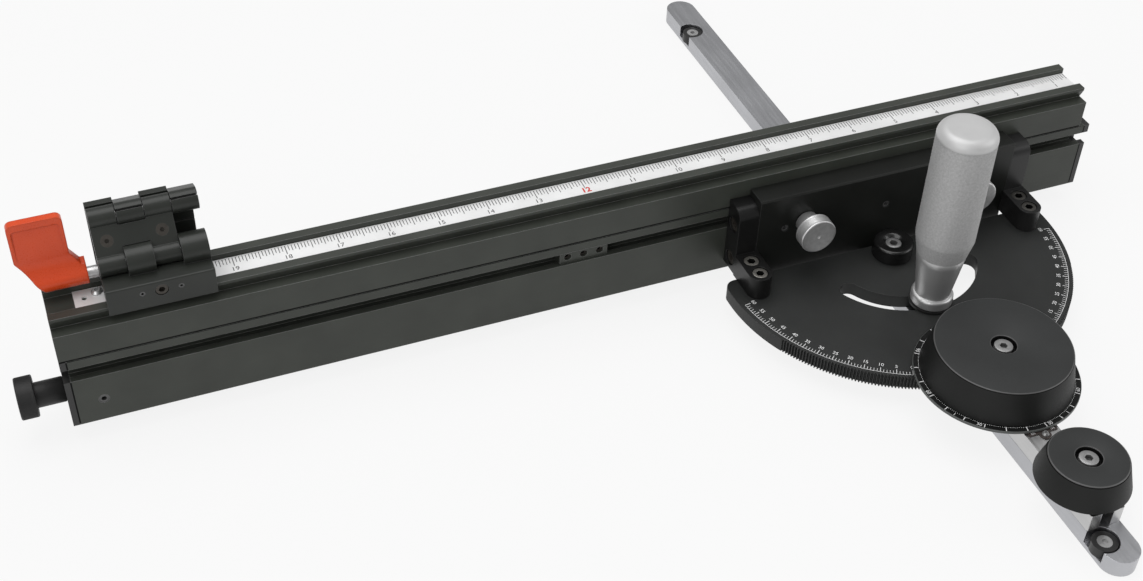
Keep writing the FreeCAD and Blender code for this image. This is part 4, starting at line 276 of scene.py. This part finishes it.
finishes = {
    "miter_bar": bar_metal, "glide_discs": dark_plastic, "glide_screws": screw_metal,
    "guide_pin": screw_metal, "pivot_bushing": boss_black, "pivot_screw": screw_metal,
    "protractor_plate": plate_coat, "handle_washer": knob_black, "handle_stud": screw_metal,
    "clamp_handle": handle_smooth, "micro_block": block_metal, "pointer_plate": dark_plate,
    "pointer_screw": screw_face, "pinion": screw_metal, "wheel_spindle": screw_metal,
    "index_dial": dial_coat, "micro_wheel": wheel_black, "wheel_screw": screw_metal,
    "lock_washer": screw_metal, "lock_knob": wheel_black, "lock_screw": screw_metal,
    "fence_rail": extrusion, "left_end_cap": dark_plastic, "right_end_cap": dark_plastic,
    "cap_set_screw": grub_screw, "end_thumbscrew": knob_black, "slot_stop": extrusion,
    "slot_stop_screws": dark_screw, "fence_extension": extrusion, "rule_strip": rule_white,
    "rule_screw": screw_metal, "carrier_plate": carrier_coat, "carrier_set_screws": hidden_grub,
    "left_bracket": gloss_black, "right_bracket": lit_bracket_black,
    "bracket_foot_screws": screw_metal, "bracket_end_screws": dark_screw,
    "slot_nuts": screw_metal, "left_thumbscrew": thumb_rim, "right_thumbscrew": thumb_rim,
    "stop_block": machined, "clamp_jaw": machined, "jaw_screw": dark_screw,
    "stop_set_screws": grub_screw, "lower_hinge_pin": screw_metal,
    "upper_hinge_pin": screw_metal, "stop_link": machined, "link_screws": dark_screw,
    "flip_arm": machined, "lever_shaft": shaft_metal, "clamp_lever": red,
}
for name, obj in nodes.items():
    obj.data.materials.clear()
    obj.data.materials.append(finishes[name])


# Meshes


def add_object(name, bm, body, materials):
    """Turns a bmesh in metres into a piece that rides on a body."""
    mesh = bpy.data.meshes.new(name)
    bm.to_mesh(mesh)
    bm.free()
    for material in materials:
        mesh.materials.append(material)
    obj = bpy.data.objects.new(name, mesh)
    bpy.context.scene.collection.objects.link(obj)
    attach(obj, body)
    return obj


def add_solid(name, bm, body, materials, replaced, sharp):
    """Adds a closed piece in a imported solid's place, smooth except at edges over sharp degrees."""
    bmesh.ops.recalc_face_normals(bm, faces=bm.faces)
    for face in bm.faces:
        face.smooth = True
    for edge in bm.edges:
        if len(edge.link_faces) == 2:
            edge.smooth = edge.calc_face_angle(0.0) < math.radians(sharp)
    obj = add_object(name, bm, body, materials)
    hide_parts(*replaced)


def place(x, y, z=0.0, angle=0.0, axis="Z"):
    """Local frame at a point in millimetres, turned about one axis by an angle in degrees."""
    turn = Matrix.Rotation(math.radians(angle), 4, axis)
    return Matrix.Translation(Vector((x, y, z)) * MM) @ turn


def rings(bm, loops):
    """Skins a list of vertex loops of the same length and closes both ends."""
    for a, b in zip(loops, loops[1:]):
        for i in range(len(a)):
            j = (i + 1) % len(a)
            bm.faces.new((a[i], a[j], b[j], b[i]))
    bm.faces.new(list(reversed(loops[0])))
    bm.faces.new(loops[-1])


def ring_at(bm, matrix, height, count, reach):
    """One loop of count points; reach gives a point's distance from its number and its angle."""
    ring = []
    for i in range(count):
        angle = 2 * math.pi * i / count
        r = reach(i, angle)
        point = Vector((r * math.cos(angle), r * math.sin(angle), height)) * MM
        ring.append(bm.verts.new(matrix @ point))
    return ring


def lathe(name, rows, matrix, body, materials, replaced, count, sharp=40.0, bands=()):
    """A turned piece. rows lists (radius, height, knurl depth) from one end to the other in mm.

    A knurled row sinks every second point, in turn from row to row. Faces whose height lies
    within the first band take the second material, those within the next band the third, and
    so on.
    """
    bm = bmesh.new()
    loops = []
    for row, (radius, height, depth) in enumerate(rows):
        loops.append(ring_at(bm, matrix, height, count,
                             lambda i, angle: radius - depth * ((i + row) % 2)))
    rings(bm, loops)
    back = matrix.inverted()
    for index, (low, high) in enumerate(bands, 1):
        for face in bm.faces:
            if low < (back @ face.calc_center_median()).z / MM < high:
                face.material_index = index
    add_solid(name, bm, body, materials, replaced, sharp)


def plain(*points):
    """Rows without a knurl, from pairs of a radius and a height."""
    return [(radius, height, 0.0) for radius, height in points]


def straight(radius_low, z_low, radius_high, z_high, steps, depth=0.0):
    """Evenly spaced rows of a cone between two heights."""
    rows = []
    for i in range(steps + 1):
        t = i / steps
        radius = radius_low + (radius_high - radius_low) * t
        rows.append((radius, z_low + (z_high - z_low) * t, depth))
    return rows


def arc(centre_r, centre_z, radius, start, end, steps):
    """Rows of a fillet, between two angles in degrees."""
    rows = []
    for i in range(steps + 1):
        angle = math.radians(start + (end - start) * i / steps)
        rows.append((centre_r + radius * math.cos(angle), centre_z + radius * math.sin(angle), 0.0))
    return rows


def foot_fillet(outer, z, fillet, end, steps, start=-90):
    """Rows of the rounded lower edge of a piece whose outer radius is given."""
    return arc(outer - fillet, z + fillet, fillet, start, end, steps)


def top_fillet(outer, z, fillet, steps, start=0):
    """Rows of the rounded upper edge of a piece whose top lies at z."""
    return arc(outer - fillet, z - fillet, fillet, start, 90, steps)


# Clamp handle with its knurled grip

# Radii, fillets, and rises above the handle's foot
HANDLE_BORE = 4.0
RING_R, RING_FOOT, RING_ROUND, RING_RISE = 10.9, 0.8, 1.6, 5.8
WAIST_R, WAIST_RISE = 9.1, 6.3
SEAM_R, SEAM_RISE = 12.5, 32.4
TAPER_RISE = 42.4
CROWN_FILLET = 5.2
KNURL_PITCH, KNURL_DEPTH = 1.0, 0.45

handle_low, handle_high = span("clamp_handle")
grip_r = (handle_high[0] - handle_low[0]) / 2
foot_z, crown_z = handle_low[2], handle_high[2]
ring_top = foot_z + RING_RISE
seam_z = foot_z + SEAM_RISE
widest_z = foot_z + TAPER_RISE
shoulder_z = crown_z - CROWN_FILLET
taper_steps = int((TAPER_RISE - SEAM_RISE) / KNURL_PITCH)
grip_steps = int((shoulder_z - 1.2 - widest_z) / KNURL_PITCH)
grip_rows = plain((HANDLE_BORE, foot_z), (RING_R - RING_FOOT, foot_z))
grip_rows += foot_fillet(RING_R, foot_z, RING_FOOT, 0, 4)
grip_rows += top_fillet(RING_R, ring_top, RING_ROUND, 6)
grip_rows += plain((WAIST_R + 0.05, ring_top + 0.15))
grip_rows += straight(WAIST_R, foot_z + WAIST_RISE, SEAM_R + 0.12, seam_z - 0.4, 6)
grip_rows += plain((SEAM_R, seam_z - 0.2), (SEAM_R, seam_z))
grip_rows += straight(SEAM_R + 0.25, seam_z + 0.2, grip_r - 0.1, widest_z, taper_steps, KNURL_DEPTH)
grip_rows += straight(grip_r, widest_z + 0.8, grip_r, shoulder_z - 0.6, grip_steps, KNURL_DEPTH)
grip_rows += top_fillet(grip_r, crown_z, CROWN_FILLET, 14)
grip_rows += plain((6.0, crown_z), (0.3, crown_z))
knurl_end = shoulder_z - 0.3
lathe("knurled_clamp_handle", grip_rows, place(0, centre_of("clamp_handle")[1]), "handle",
      [handle_smooth, knurl_metal, handle_crown], ["clamp_handle"], count=120,
      sharp=60.0, bands=[(seam_z + 0.1, knurl_end), (knurl_end, crown_z + 1.0)])


# Wheel, lock knob, dial and bushing

COUNTERBORE_R = 6.3
COUNTERBORE_DEPTH = 3.2
SHANK_HOLE_R = 2.6
KNOB_FOOT_FILLET = 0.5


def knob(name, node, body, crown_r, fillet, foot_r):
    """Tapered knob with a counterbore; crown_r is its radius at the top, foot_r its hole's."""
    low, high = span(node)
    foot, top = low[2], high[2]
    base_r = (high[0] - low[0]) / 2
    lean = math.degrees(math.atan2(base_r - crown_r, top - foot))
    floor_z = top - COUNTERBORE_DEPTH
    rows = plain((foot_r, foot), (base_r - KNOB_FOOT_FILLET, foot))
    rows += foot_fillet(base_r, foot, KNOB_FOOT_FILLET, lean, 4)
    rows += arc(crown_r - fillet * 0.9, top - fillet, fillet, lean, 90, 10)
    rows += plain((COUNTERBORE_R + 0.4, top), (COUNTERBORE_R + 0.1, top - 0.1),
                  (COUNTERBORE_R, top - 0.4), (COUNTERBORE_R, floor_z), (SHANK_HOLE_R, floor_z))
    # Bands: a highlight painted on the rim's rounded edge, painted shade in the counterbore, and a
    # lighter top face painted where light falls
    rim_end = top - fillet * 0.02
    lathe(name, rows, place(0, centre_of(node)[1]), body,
          [wheel_black, rim_highlight_black, painted_shade_black, painted_lit_top], [node], count=192,
          bands=[(top - fillet * 0.32, rim_end), (floor_z - 0.1, top - 0.38), (rim_end, top + 0.1)])


knob("fine_adjust_wheel", "micro_wheel", "wheel", crown_r=33.9, fillet=0.9, foot_r=6.1)
knob("lock_knob_moulding", "lock_knob", "lock", crown_r=19.0, fillet=1.1, foot_r=3.1)

DIAL_BORE = 3.6
dial_low, dial_high = span("index_dial")
wheel_y = centre_of("index_dial")[1]
dial_r = (dial_high[0] - dial_low[0]) / 2
dial_rows = plain((DIAL_BORE, dial_low[2]), (dial_r - 0.25, dial_low[2]),
                  (dial_r, dial_low[2] + 0.25), (dial_r, dial_high[2] - 0.3),
                  (dial_r - 0.3, dial_high[2]), (DIAL_BORE, dial_high[2]))
lathe("dial_disc", dial_rows, place(0, wheel_y), "wheel",
      [dial_coat, dial_edge], ["index_dial"], count=240,
      bands=[(dial_low[2] + 0.02, dial_high[2] - 0.02)])

BUSH_BORE, BUSH_NECK, BUSH_COUNTERBORE = 2.55, 5.0, 4.3
BUSH_FILLET, BUSH_DEPTH = 1.3, 5.8
plate_top = span("protractor_plate")[1][2]
bush_low, bush_high = span("pivot_bushing")
bush_top = bush_high[2]
flange_r = (bush_high[0] - bush_low[0]) / 2
flange_z = plate_top + 0.1
bush_rows = plain((BUSH_BORE, bush_low[2]), (BUSH_NECK, bush_low[2]), (BUSH_NECK, flange_z),
                  (flange_r - 0.4, flange_z), (flange_r, plate_top + 0.5))
bush_rows += top_fillet(flange_r, bush_top, BUSH_FILLET, 8)
bush_rows += plain((6.3, bush_top), (5.4, bush_top - 0.5), (BUSH_COUNTERBORE, bush_top - 1.3),
                   (BUSH_COUNTERBORE, bush_top - BUSH_DEPTH), (BUSH_BORE, bush_top - BUSH_DEPTH))
lathe("pivot_boss", bush_rows, place(0, 0), "guide_bar", [boss_black],
      ["pivot_bushing"], count=128)


# Socket screws with flat heads

SCREW_POINTS = 72
# Screws right of this X take the third look, which for the bracket's feet paints shade on them
RIGHT_SIDE = 20.0


def socket_screws(name, node, body, places, radius, height, shank, key,
                  metals=(screw_face, painted_socket_shade, screw_face)):
    """Flat cap screws with hexagon sockets that stand upright in one node.

    height is the head's and key half the socket's width. metals gives the looks of the screws,
    of their sockets, where a darker material paints the shade inside, and of the screws right of the
    pivot, which may be a darker copy that paints shade on them.
    """
    low, high = span(node)
    length = high[2] - low[2]
    bm = bmesh.new()
    for place_x, place_y in places:
        matrix = place(place_x, place_y, high[2])

        def circle(r, z):
            return ring_at(bm, matrix, z, SCREW_POINTS, lambda i, angle: r)

        def hexagon(flat, z):
            side = math.pi / 3
            return ring_at(bm, matrix, z, SCREW_POINTS, lambda i, angle:
                           flat / math.cos((angle + side / 2) % side - side / 2))

        loops = [circle(0.2, -length), circle(shank - 0.4, -length), circle(shank, 0.4 - length)]
        loops += [circle(shank, -height), circle(radius, -height), circle(radius, -0.35)]
        loops += [circle(radius - 0.1, -0.12), circle(radius - 0.35, 0), circle(key + 0.75, 0)]
        loops += [hexagon(key + 0.12, 0), hexagon(key, -0.12), hexagon(key, 0.45 - height)]
        loops += [circle(0.2, 0.15 - height)]
        rings(bm, loops)
    for face in bm.faces:
        middle = face.calc_center_median() / MM
        away = min(math.hypot(middle.x - x, middle.y - y) for x, y in places)
        if -height < middle.z - high[2] < -0.13 and away < key * 1.2:
            face.material_index = 1
        elif middle.x > RIGHT_SIDE:
            face.material_index = 2
    add_solid(name, bm, body, metals, [node], sharp=30.0)


FOOT_HEAD = 4.0
foot_low, foot_high = span("bracket_foot_screws")
foot_places = [(x, y) for x in (foot_low[0] + FOOT_HEAD, foot_high[0] - FOOT_HEAD)
               for y in (foot_low[1] + FOOT_HEAD, foot_high[1] - FOOT_HEAD)]
socket_screws("wheel_cap_screw", "wheel_screw", "wheel", [centre_of("wheel_screw")[:2]],
              radius=4.6, height=2.6, shank=2.5, key=1.7)
socket_screws("lock_cap_screw", "lock_screw", "lock", [centre_of("lock_screw")[:2]],
              radius=4.6, height=2.6, shank=3.0, key=1.7)
socket_screws("pivot_cap_screw", "pivot_screw", "guide_bar", [(0, 0)],
              radius=4.2, height=4.6, shank=2.5, key=2.0)
socket_screws("foot_cap_screws", "bracket_foot_screws", "head", foot_places,
              radius=FOOT_HEAD, height=3.6, shank=2.5, key=1.9,
              metals=(foot_face, painted_shade_black, foot_shade))


# Thumbscrews

HEAD_FILLET = 0.8
THUMB_HEAD, THUMB_COLLAR = 7.2, 14.8
THUMB_COLLAR_R, THUMB_SHANK_R = 6.0, 3.0
END_HEAD, END_COLLAR = 8.4, 21.8
END_COLLAR_R, END_SHANK_R = 6.2, 3.5


def thumb(name, node, body):
    """Bright thumbscrew along Y: knurled head, collar and shank."""
    low, high = span(node)
    radius = (high[0] - low[0]) / 2
    start, tip = low[1], high[1]
    collar = start + THUMB_HEAD
    shank = start + THUMB_COLLAR
    rows = plain((0.3, start + 0.6), (0.7, start + 0.55), (0.9, start + 0.02))
    rows += plain((radius - 1.0, start))
    rows += foot_fillet(radius, start, HEAD_FILLET, -8, 6, -85)
    rows += straight(radius, start + 1.0, radius, collar - 1.0, 8, 0.2)
    rows += top_fillet(radius, collar, HEAD_FILLET, 5, 10)
    rows += plain((THUMB_COLLAR_R, collar), (THUMB_COLLAR_R, shank - 0.5),
                  (THUMB_COLLAR_R - 0.5, shank), (THUMB_SHANK_R, shank),
                  (THUMB_SHANK_R, tip - 0.6), (THUMB_SHANK_R - 0.6, tip), (0.4, tip))
    middle = centre_of(node)
    lathe(name, rows, place(middle[0], 0, middle[2], -90, "X"), body,
          [thumb_rim, thumb_face], [node], count=140, sharp=50.0,
          bands=[(start - 0.1, start + 0.03)])


thumb("left_fence_clamp", "left_thumbscrew", "left_clamp")
thumb("right_fence_clamp", "right_thumbscrew", "right_clamp")

end_low, end_high = span("end_thumbscrew")
end_middle = centre_of("end_thumbscrew")
end_r = (end_high[2] - end_low[2]) / 2
end_start, end_tip = end_low[0], end_high[0]
end_collar = end_start + END_HEAD
end_shank = end_start + END_COLLAR
end_rows = plain((0.4, end_start + 0.3), (2.0, end_start + 0.3), (2.3, end_start))
end_rows += foot_fillet(end_r, end_start, HEAD_FILLET, -15, 5)
end_rows += straight(end_r, end_start + 1.1, end_r, end_collar - 1.1, 10, 0.28)
end_rows += top_fillet(end_r, end_collar, HEAD_FILLET, 5, 15)
end_rows += plain((END_COLLAR_R, end_collar), (END_COLLAR_R, end_shank - 0.4),
                  (END_COLLAR_R - 0.4, end_shank), (END_SHANK_R, end_shank),
                  (END_SHANK_R, end_tip - 0.6), (END_SHANK_R - 0.6, end_tip), (0.4, end_tip))
lathe("fence_end_thumbscrew", end_rows, place(0, end_middle[1], end_middle[2], 90, "Y"),
      "end_lock", [knob_black], ["end_thumbscrew"], count=120, sharp=50.0)


# Printed scales

LIFT = 0.03
TEXT_SCALE = 1.4


class Print:
    """Flat ink marks that lie just above a surface, gathered in one mesh."""

    def __init__(self):
        self.bm = bmesh.new()

    def quad(self, matrix, x0, x1, y0, y1):
        corners = [Vector((x, y, 0)) * MM for x, y in ((x0, y0), (x1, y0), (x1, y1), (x0, y1))]
        self.bm.faces.new([self.bm.verts.new(matrix @ corner) for corner in corners])

    def tick(self, matrix, width, y0, y1):
        self.quad(matrix, -width / 2, width / 2, y0, y1)

    def ring(self, matrix, radius, width, start, end):
        """Line along a circle between two angles in degrees, with about one piece a degree."""
        count = int(abs(end - start))
        last = None
        for i in range(count + 1):
            angle = math.radians(start + (end - start) * i / count)
            pair = []
            for r in (radius - width / 2, radius + width / 2):
                point = Vector((r * math.sin(angle), -r * math.cos(angle), 0)) * MM
                pair.append(self.bm.verts.new(matrix @ point))
            if last:
                self.bm.faces.new((last[0], last[1], pair[1], pair[0]))
            last = pair

    def text(self, matrix, words, size, weight=0.0):
        """Words in Blender's own font; weight thickens the strokes, in millimetres."""
        curve = bpy.data.curves.new("label", "FONT")
        curve.body = words
        curve.size = size * MM * TEXT_SCALE
        curve.align_x = "CENTER"
        curve.align_y = "CENTER"
        curve.resolution_u = 4
        curve.offset = weight * MM
        holder = bpy.data.objects.new("label", curve)
        bpy.context.scene.collection.objects.link(holder)
        bpy.context.view_layer.update()
        mesh = bpy.data.meshes.new_from_object(holder)
        mesh.transform(matrix)
        self.bm.from_mesh(mesh)
        bpy.data.objects.remove(holder)
        bpy.data.curves.remove(curve)
        bpy.data.meshes.remove(mesh)

    def make(self, name, body, material):
        add_object(name, self.bm, body, [material])


def on_circle(radius, angle, centre_y, z):
    """Place on a circle about X = 0, at an angle in degrees from the side that looks to -Y."""
    x = radius * math.sin(math.radians(angle))
    y = centre_y - radius * math.cos(math.radians(angle))
    return place(x, y, z, angle)


# Inch rule: the marks run to the far edge, the numbers stand on the near side. TICKS pairs a
# step in sixteenths with the length of its marks, the longest first.
INCH = 25.4
INCHES = 21
ZERO_X = 143.2
FIRST_SIXTEENTH = 10
TICKS = ((16, 6.2), (8, 5.5), (4, 4.9), (2, 4.3), (1, 3.7))
INCH_WIDTH, TICK_WIDTH = 0.40, 0.34
TICK_INSET = 0.7
NUMBER_Y, NUMBER_SIZE, NUMBER_MARGIN = 40.6, 2.9, 3
FOOT_MARK, FOOT_MARK_Y, FOOT_MARK_SIZE, FOOT_MARK_WEIGHT = 12, 40.9, 3.6, 0.16
rule_low, rule_high = span("rule_strip")
rule_z = rule_high[2] + LIFT
rule_print = Print()
red_print = Print()
for sixteenth in range(FIRST_SIXTEENTH, INCHES * 16 + 1):
    x = ZERO_X - INCH * sixteenth / 16
    if rule_low[0] + 1 < x < rule_high[0] - 0.3:
        length = next(length for step, length in TICKS if sixteenth % step == 0)
        width = TICK_WIDTH if sixteenth % 16 else INCH_WIDTH
        rule_print.tick(place(x, rule_high[1] - TICK_INSET, rule_z), width, -length, 0.0)
for inch in range(1, INCHES + 1):
    x = ZERO_X - INCH * inch
    if inch == FOOT_MARK:
        red_print.text(place(x, FOOT_MARK_Y, rule_z), str(inch), FOOT_MARK_SIZE, FOOT_MARK_WEIGHT)
    elif rule_low[0] + NUMBER_MARGIN < x < rule_high[0] - NUMBER_MARGIN:
        rule_print.text(place(x, NUMBER_Y, rule_z), str(inch), NUMBER_SIZE)
rule_print.make("rule_marks", "extension", black_ink)
red_print.make("rule_foot_mark", "extension", red_ink)

# Protractor scales on both sides of the plate
SCALE_R = 93.0
SCALE_START, SCALE_DEGREES = 23.25, 60
SCALE_LABEL_R, SCALE_LABEL_SIZE = 87.9, 2.1
NUMBERED_WIDTH, NUMBERED_LENGTH = 0.30, 3.1
FINE_WIDTH, FINE_LENGTH = 0.22, 2.0
plate_z = plate_top + LIFT
scale_print = Print()
for sign in (-1, 1):
    scale_end = sign * (SCALE_START + SCALE_DEGREES)
    scale_print.ring(place(0, 0, plate_z), SCALE_R, FINE_WIDTH, sign * SCALE_START, scale_end)
    for degree in range(SCALE_DEGREES + 1):
        angle = sign * (SCALE_START + degree)
        numbered = degree % 5 == 0
        width = NUMBERED_WIDTH if numbered else FINE_WIDTH
        length = NUMBERED_LENGTH if numbered else FINE_LENGTH
        scale_print.tick(place(0, 0, plate_z, angle), width, -SCALE_R, length - SCALE_R)
        if numbered:
            label = on_circle(SCALE_LABEL_R, angle, 0, plate_z)
            scale_print.text(label, str(degree), SCALE_LABEL_SIZE)
scale_print.make("protractor_scale", "head", white_ink)

# Dial: marks on both sides of its centre, every third one numbered, and a ring of dots.
# Angles are in degrees, spans are counted inwards from the dial's edge.
DIAL_CENTRE = -18.65
DIAL_FIRST, DIAL_STEP, DIAL_MARKS = 7.35, 14.67, 12
DIAL_EXTRA = 44.0
DIAL_LABEL_INSET, DIAL_LABEL_TURN, DIAL_LABEL_SIZE = 1.6, 3.8, 1.9
DOT_STEP = 1.5
MARK_WIDTH, MARK_SPAN = 0.40, (0.45, 2.95)
EXTRA_SPAN = (0.5, 2.2)
DOT_WIDTH, DOT_SPAN = 0.30, (2.7, 2.98)
dial_z = dial_high[2] + LIFT
dial_print = Print()


def dial_mark(angle, width, inset):
    start, end = inset
    mark = place(0, wheel_y, dial_z, angle)
    dial_print.tick(mark, width, start - dial_r, end - dial_r)


for side in (-1, 1):
    for step in range(DIAL_MARKS):
        angle = DIAL_CENTRE + side * (DIAL_FIRST + DIAL_STEP * step)
        dial_mark(angle, MARK_WIDTH, MARK_SPAN)
        if step % 3 == 1:
            turn = angle + side * DIAL_LABEL_TURN
            label = on_circle(dial_r - DIAL_LABEL_INSET, turn, wheel_y, dial_z)
            dial_print.text(label, str(10 * (step + 2)), DIAL_LABEL_SIZE)
    dial_mark(DIAL_CENTRE + side * DIAL_EXTRA, DOT_WIDTH, EXTRA_SPAN)
for dot in range(round(360 / DOT_STEP)):
    dial_mark(dot * DOT_STEP, DOT_WIDTH, DOT_SPAN)
dial_print.make("dial_marks", "wheel", white_ink)

# Index marks on the pointer plate
POINTER_MARKS = (-6.2, -5.4, -4.6, 4.6, 5.4, 6.2)
POINTER_FRONT = 4.3
point_low, point_high = span("pointer_plate")
pointer_print = Print()
for x in POINTER_MARKS:
    mark = place(x, point_low[1] + POINTER_FRONT, point_high[2] + LIFT)
    pointer_print.tick(mark, 0.24, 0.3, 1.6)
pointer_print.make("pointer_marks", "micro_adjuster", white_ink)

# Painted shade of the gaps on the fence's front, as dark lines counted from the rail's top: one
# where the extension's face begins, and those between rail and end caps, below and above the T-slot
SEAM = 0.36
EXTENSION_FACE = 0.6
CAP_SEAMS = ((-39.9, -12.9), (-4.9, -SEAM))
rail_low, rail_high = span("fence_rail")
upper_low, upper_high = span("fence_extension")
front = place(0, rail_low[1] - LIFT, rail_high[2], 90, "X")
rail_gap_shade = Print()
upper_gap_shade = Print()
rail_gap_shade.quad(front, rail_low[0] + SEAM, rail_high[0] - SEAM, -SEAM, 0.0)
upper_gap_shade.quad(front, upper_low[0] + SEAM, upper_high[0] - SEAM,
                EXTENSION_FACE, EXTENSION_FACE + SEAM)
for x in (rail_low[0], rail_high[0]):
    for low, high in CAP_SEAMS:
        rail_gap_shade.quad(front, x - SEAM, x + SEAM, low, high)
rail_gap_shade.make("rail_gap_shade", "fence", painted_shade_black)
upper_gap_shade.make("extension_gap_shade", "extension", painted_shade_black)


# Studio

FLOOR_HALF = 6.0
FLOOR_DROP = 0.0004
PAPER_GLOW = 0.86
WORLD_LIGHT = 0.42


def make_paper():
    """White paper: the camera and reflections see it mostly as pure white, with its shadow."""
    paper = Shader("paper", 0.9, specular=0.1)
    paper.colour(paper.noise(EVEN, 3.0, 2.0), grey(0.60), grey(0.62))
    path = paper.node("ShaderNodeLightPath")
    seen = paper.node("ShaderNodeMath", operation="MAXIMUM")
    paper.link(path.outputs["Is Camera Ray"], seen.inputs[0])
    paper.link(path.outputs["Is Glossy Ray"], seen.inputs[1])
    through = paper.node("ShaderNodeMath", operation="MAXIMUM")
    paper.link(seen.outputs["Value"], through.inputs[0])
    paper.link(path.outputs["Is Transmission Ray"], through.inputs[1])
    share = paper.node("ShaderNodeMath", {1: PAPER_GLOW}, operation="MULTIPLY")
    paper.link(through.outputs["Value"], share.inputs[0])
    glow = paper.node("ShaderNodeEmission", {"Color": (1.0, 1.0, 1.0, 1), "Strength": 1.0})
    mix = paper.node("ShaderNodeMixShader")
    paper.link(share.outputs["Value"], mix.inputs["Fac"])
    paper.link(paper.bsdf.outputs["BSDF"], mix.inputs[1])
    paper.link(glow.outputs["Emission"], mix.inputs[2])
    output = next(n for n in paper.tree.nodes if n.type == "OUTPUT_MATERIAL")
    paper.link(mix.outputs["Shader"], output.inputs["Surface"])
    return paper.mat


floor_mesh = bpy.data.meshes.new("floor")
floor_bm = bmesh.new()
bmesh.ops.create_grid(floor_bm, x_segments=1, y_segments=1, size=FLOOR_HALF)
floor_bm.to_mesh(floor_mesh)
floor_bm.free()
floor_mesh.materials.append(make_paper())
floor = bpy.data.objects.new("floor", floor_mesh)
floor.location = (0, 0, -FLOOR_DROP)
bpy.context.scene.collection.objects.link(floor)

world = bpy.data.worlds.new("studio")
world.use_nodes = True
background = next(n for n in world.node_tree.nodes if n.type == "BACKGROUND")
background.inputs["Color"].default_value = (1.0, 1.0, 1.0, 1)
background.inputs["Strength"].default_value = WORLD_LIGHT
bpy.context.scene.world = world


def area_light(name, where, target, size, power):
    """Rectangular lamp in metres and watts, turned to its target."""
    data = bpy.data.lights.new(name, "AREA")
    data.shape = "RECTANGLE"
    data.size, data.size_y = size
    data.energy = power
    light = bpy.data.objects.new(name, data)
    light.location = where
    light.rotation_mode = "QUATERNION"
    light.rotation_quaternion = (Vector(target) - Vector(where)).to_track_quat("-Z", "Y")
    bpy.context.scene.collection.objects.link(light)


# Lamps: place, target, size and power
area_light("overhead", (-0.3, 0.3, 1.7), (-0.15, 0.0, 0.0), (1.8, 1.4), 20.0)
area_light("front_left", (-1.5, -1.2, 1.1), (-0.15, 0.0, 0.05), (1.2, 1.0), 11.0)
area_light("right_side", (1.3, -0.6, 0.9), (0.0, 0.0, 0.05), (0.9, 0.9), 6.0)

# Camera at the photograph's place, solved from the rule and the right angles of the object
CAMERA_PLACE = Vector((-418.8, -556.3, 581.3))
CAMERA_FORWARD = Vector((0.2931, 0.6971, -0.6543)).normalized()
CAMERA_RIGHT = Vector((0.93008, -0.36642, 0.02629)).normalized()
camera_data = bpy.data.cameras.new("camera")
camera_data.sensor_fit = "HORIZONTAL"
camera_data.sensor_width = 36.0
camera_data.lens = 51.75
camera_data.shift_x = -0.0007
camera_data.shift_y = -0.0178
camera_data.clip_start = 0.05
camera_data.clip_end = 50.0
camera = bpy.data.objects.new("camera", camera_data)
bpy.context.scene.collection.objects.link(camera)
up = CAMERA_RIGHT.cross(CAMERA_FORWARD).normalized()
right = CAMERA_FORWARD.cross(up)
turn = Matrix((right, up, -CAMERA_FORWARD)).transposed()
camera.matrix_world = Matrix.Translation(CAMERA_PLACE * MM) @ turn.to_4x4()
bpy.context.scene.camera = camera
bpy.context.scene.view_settings.view_transform = "Standard"
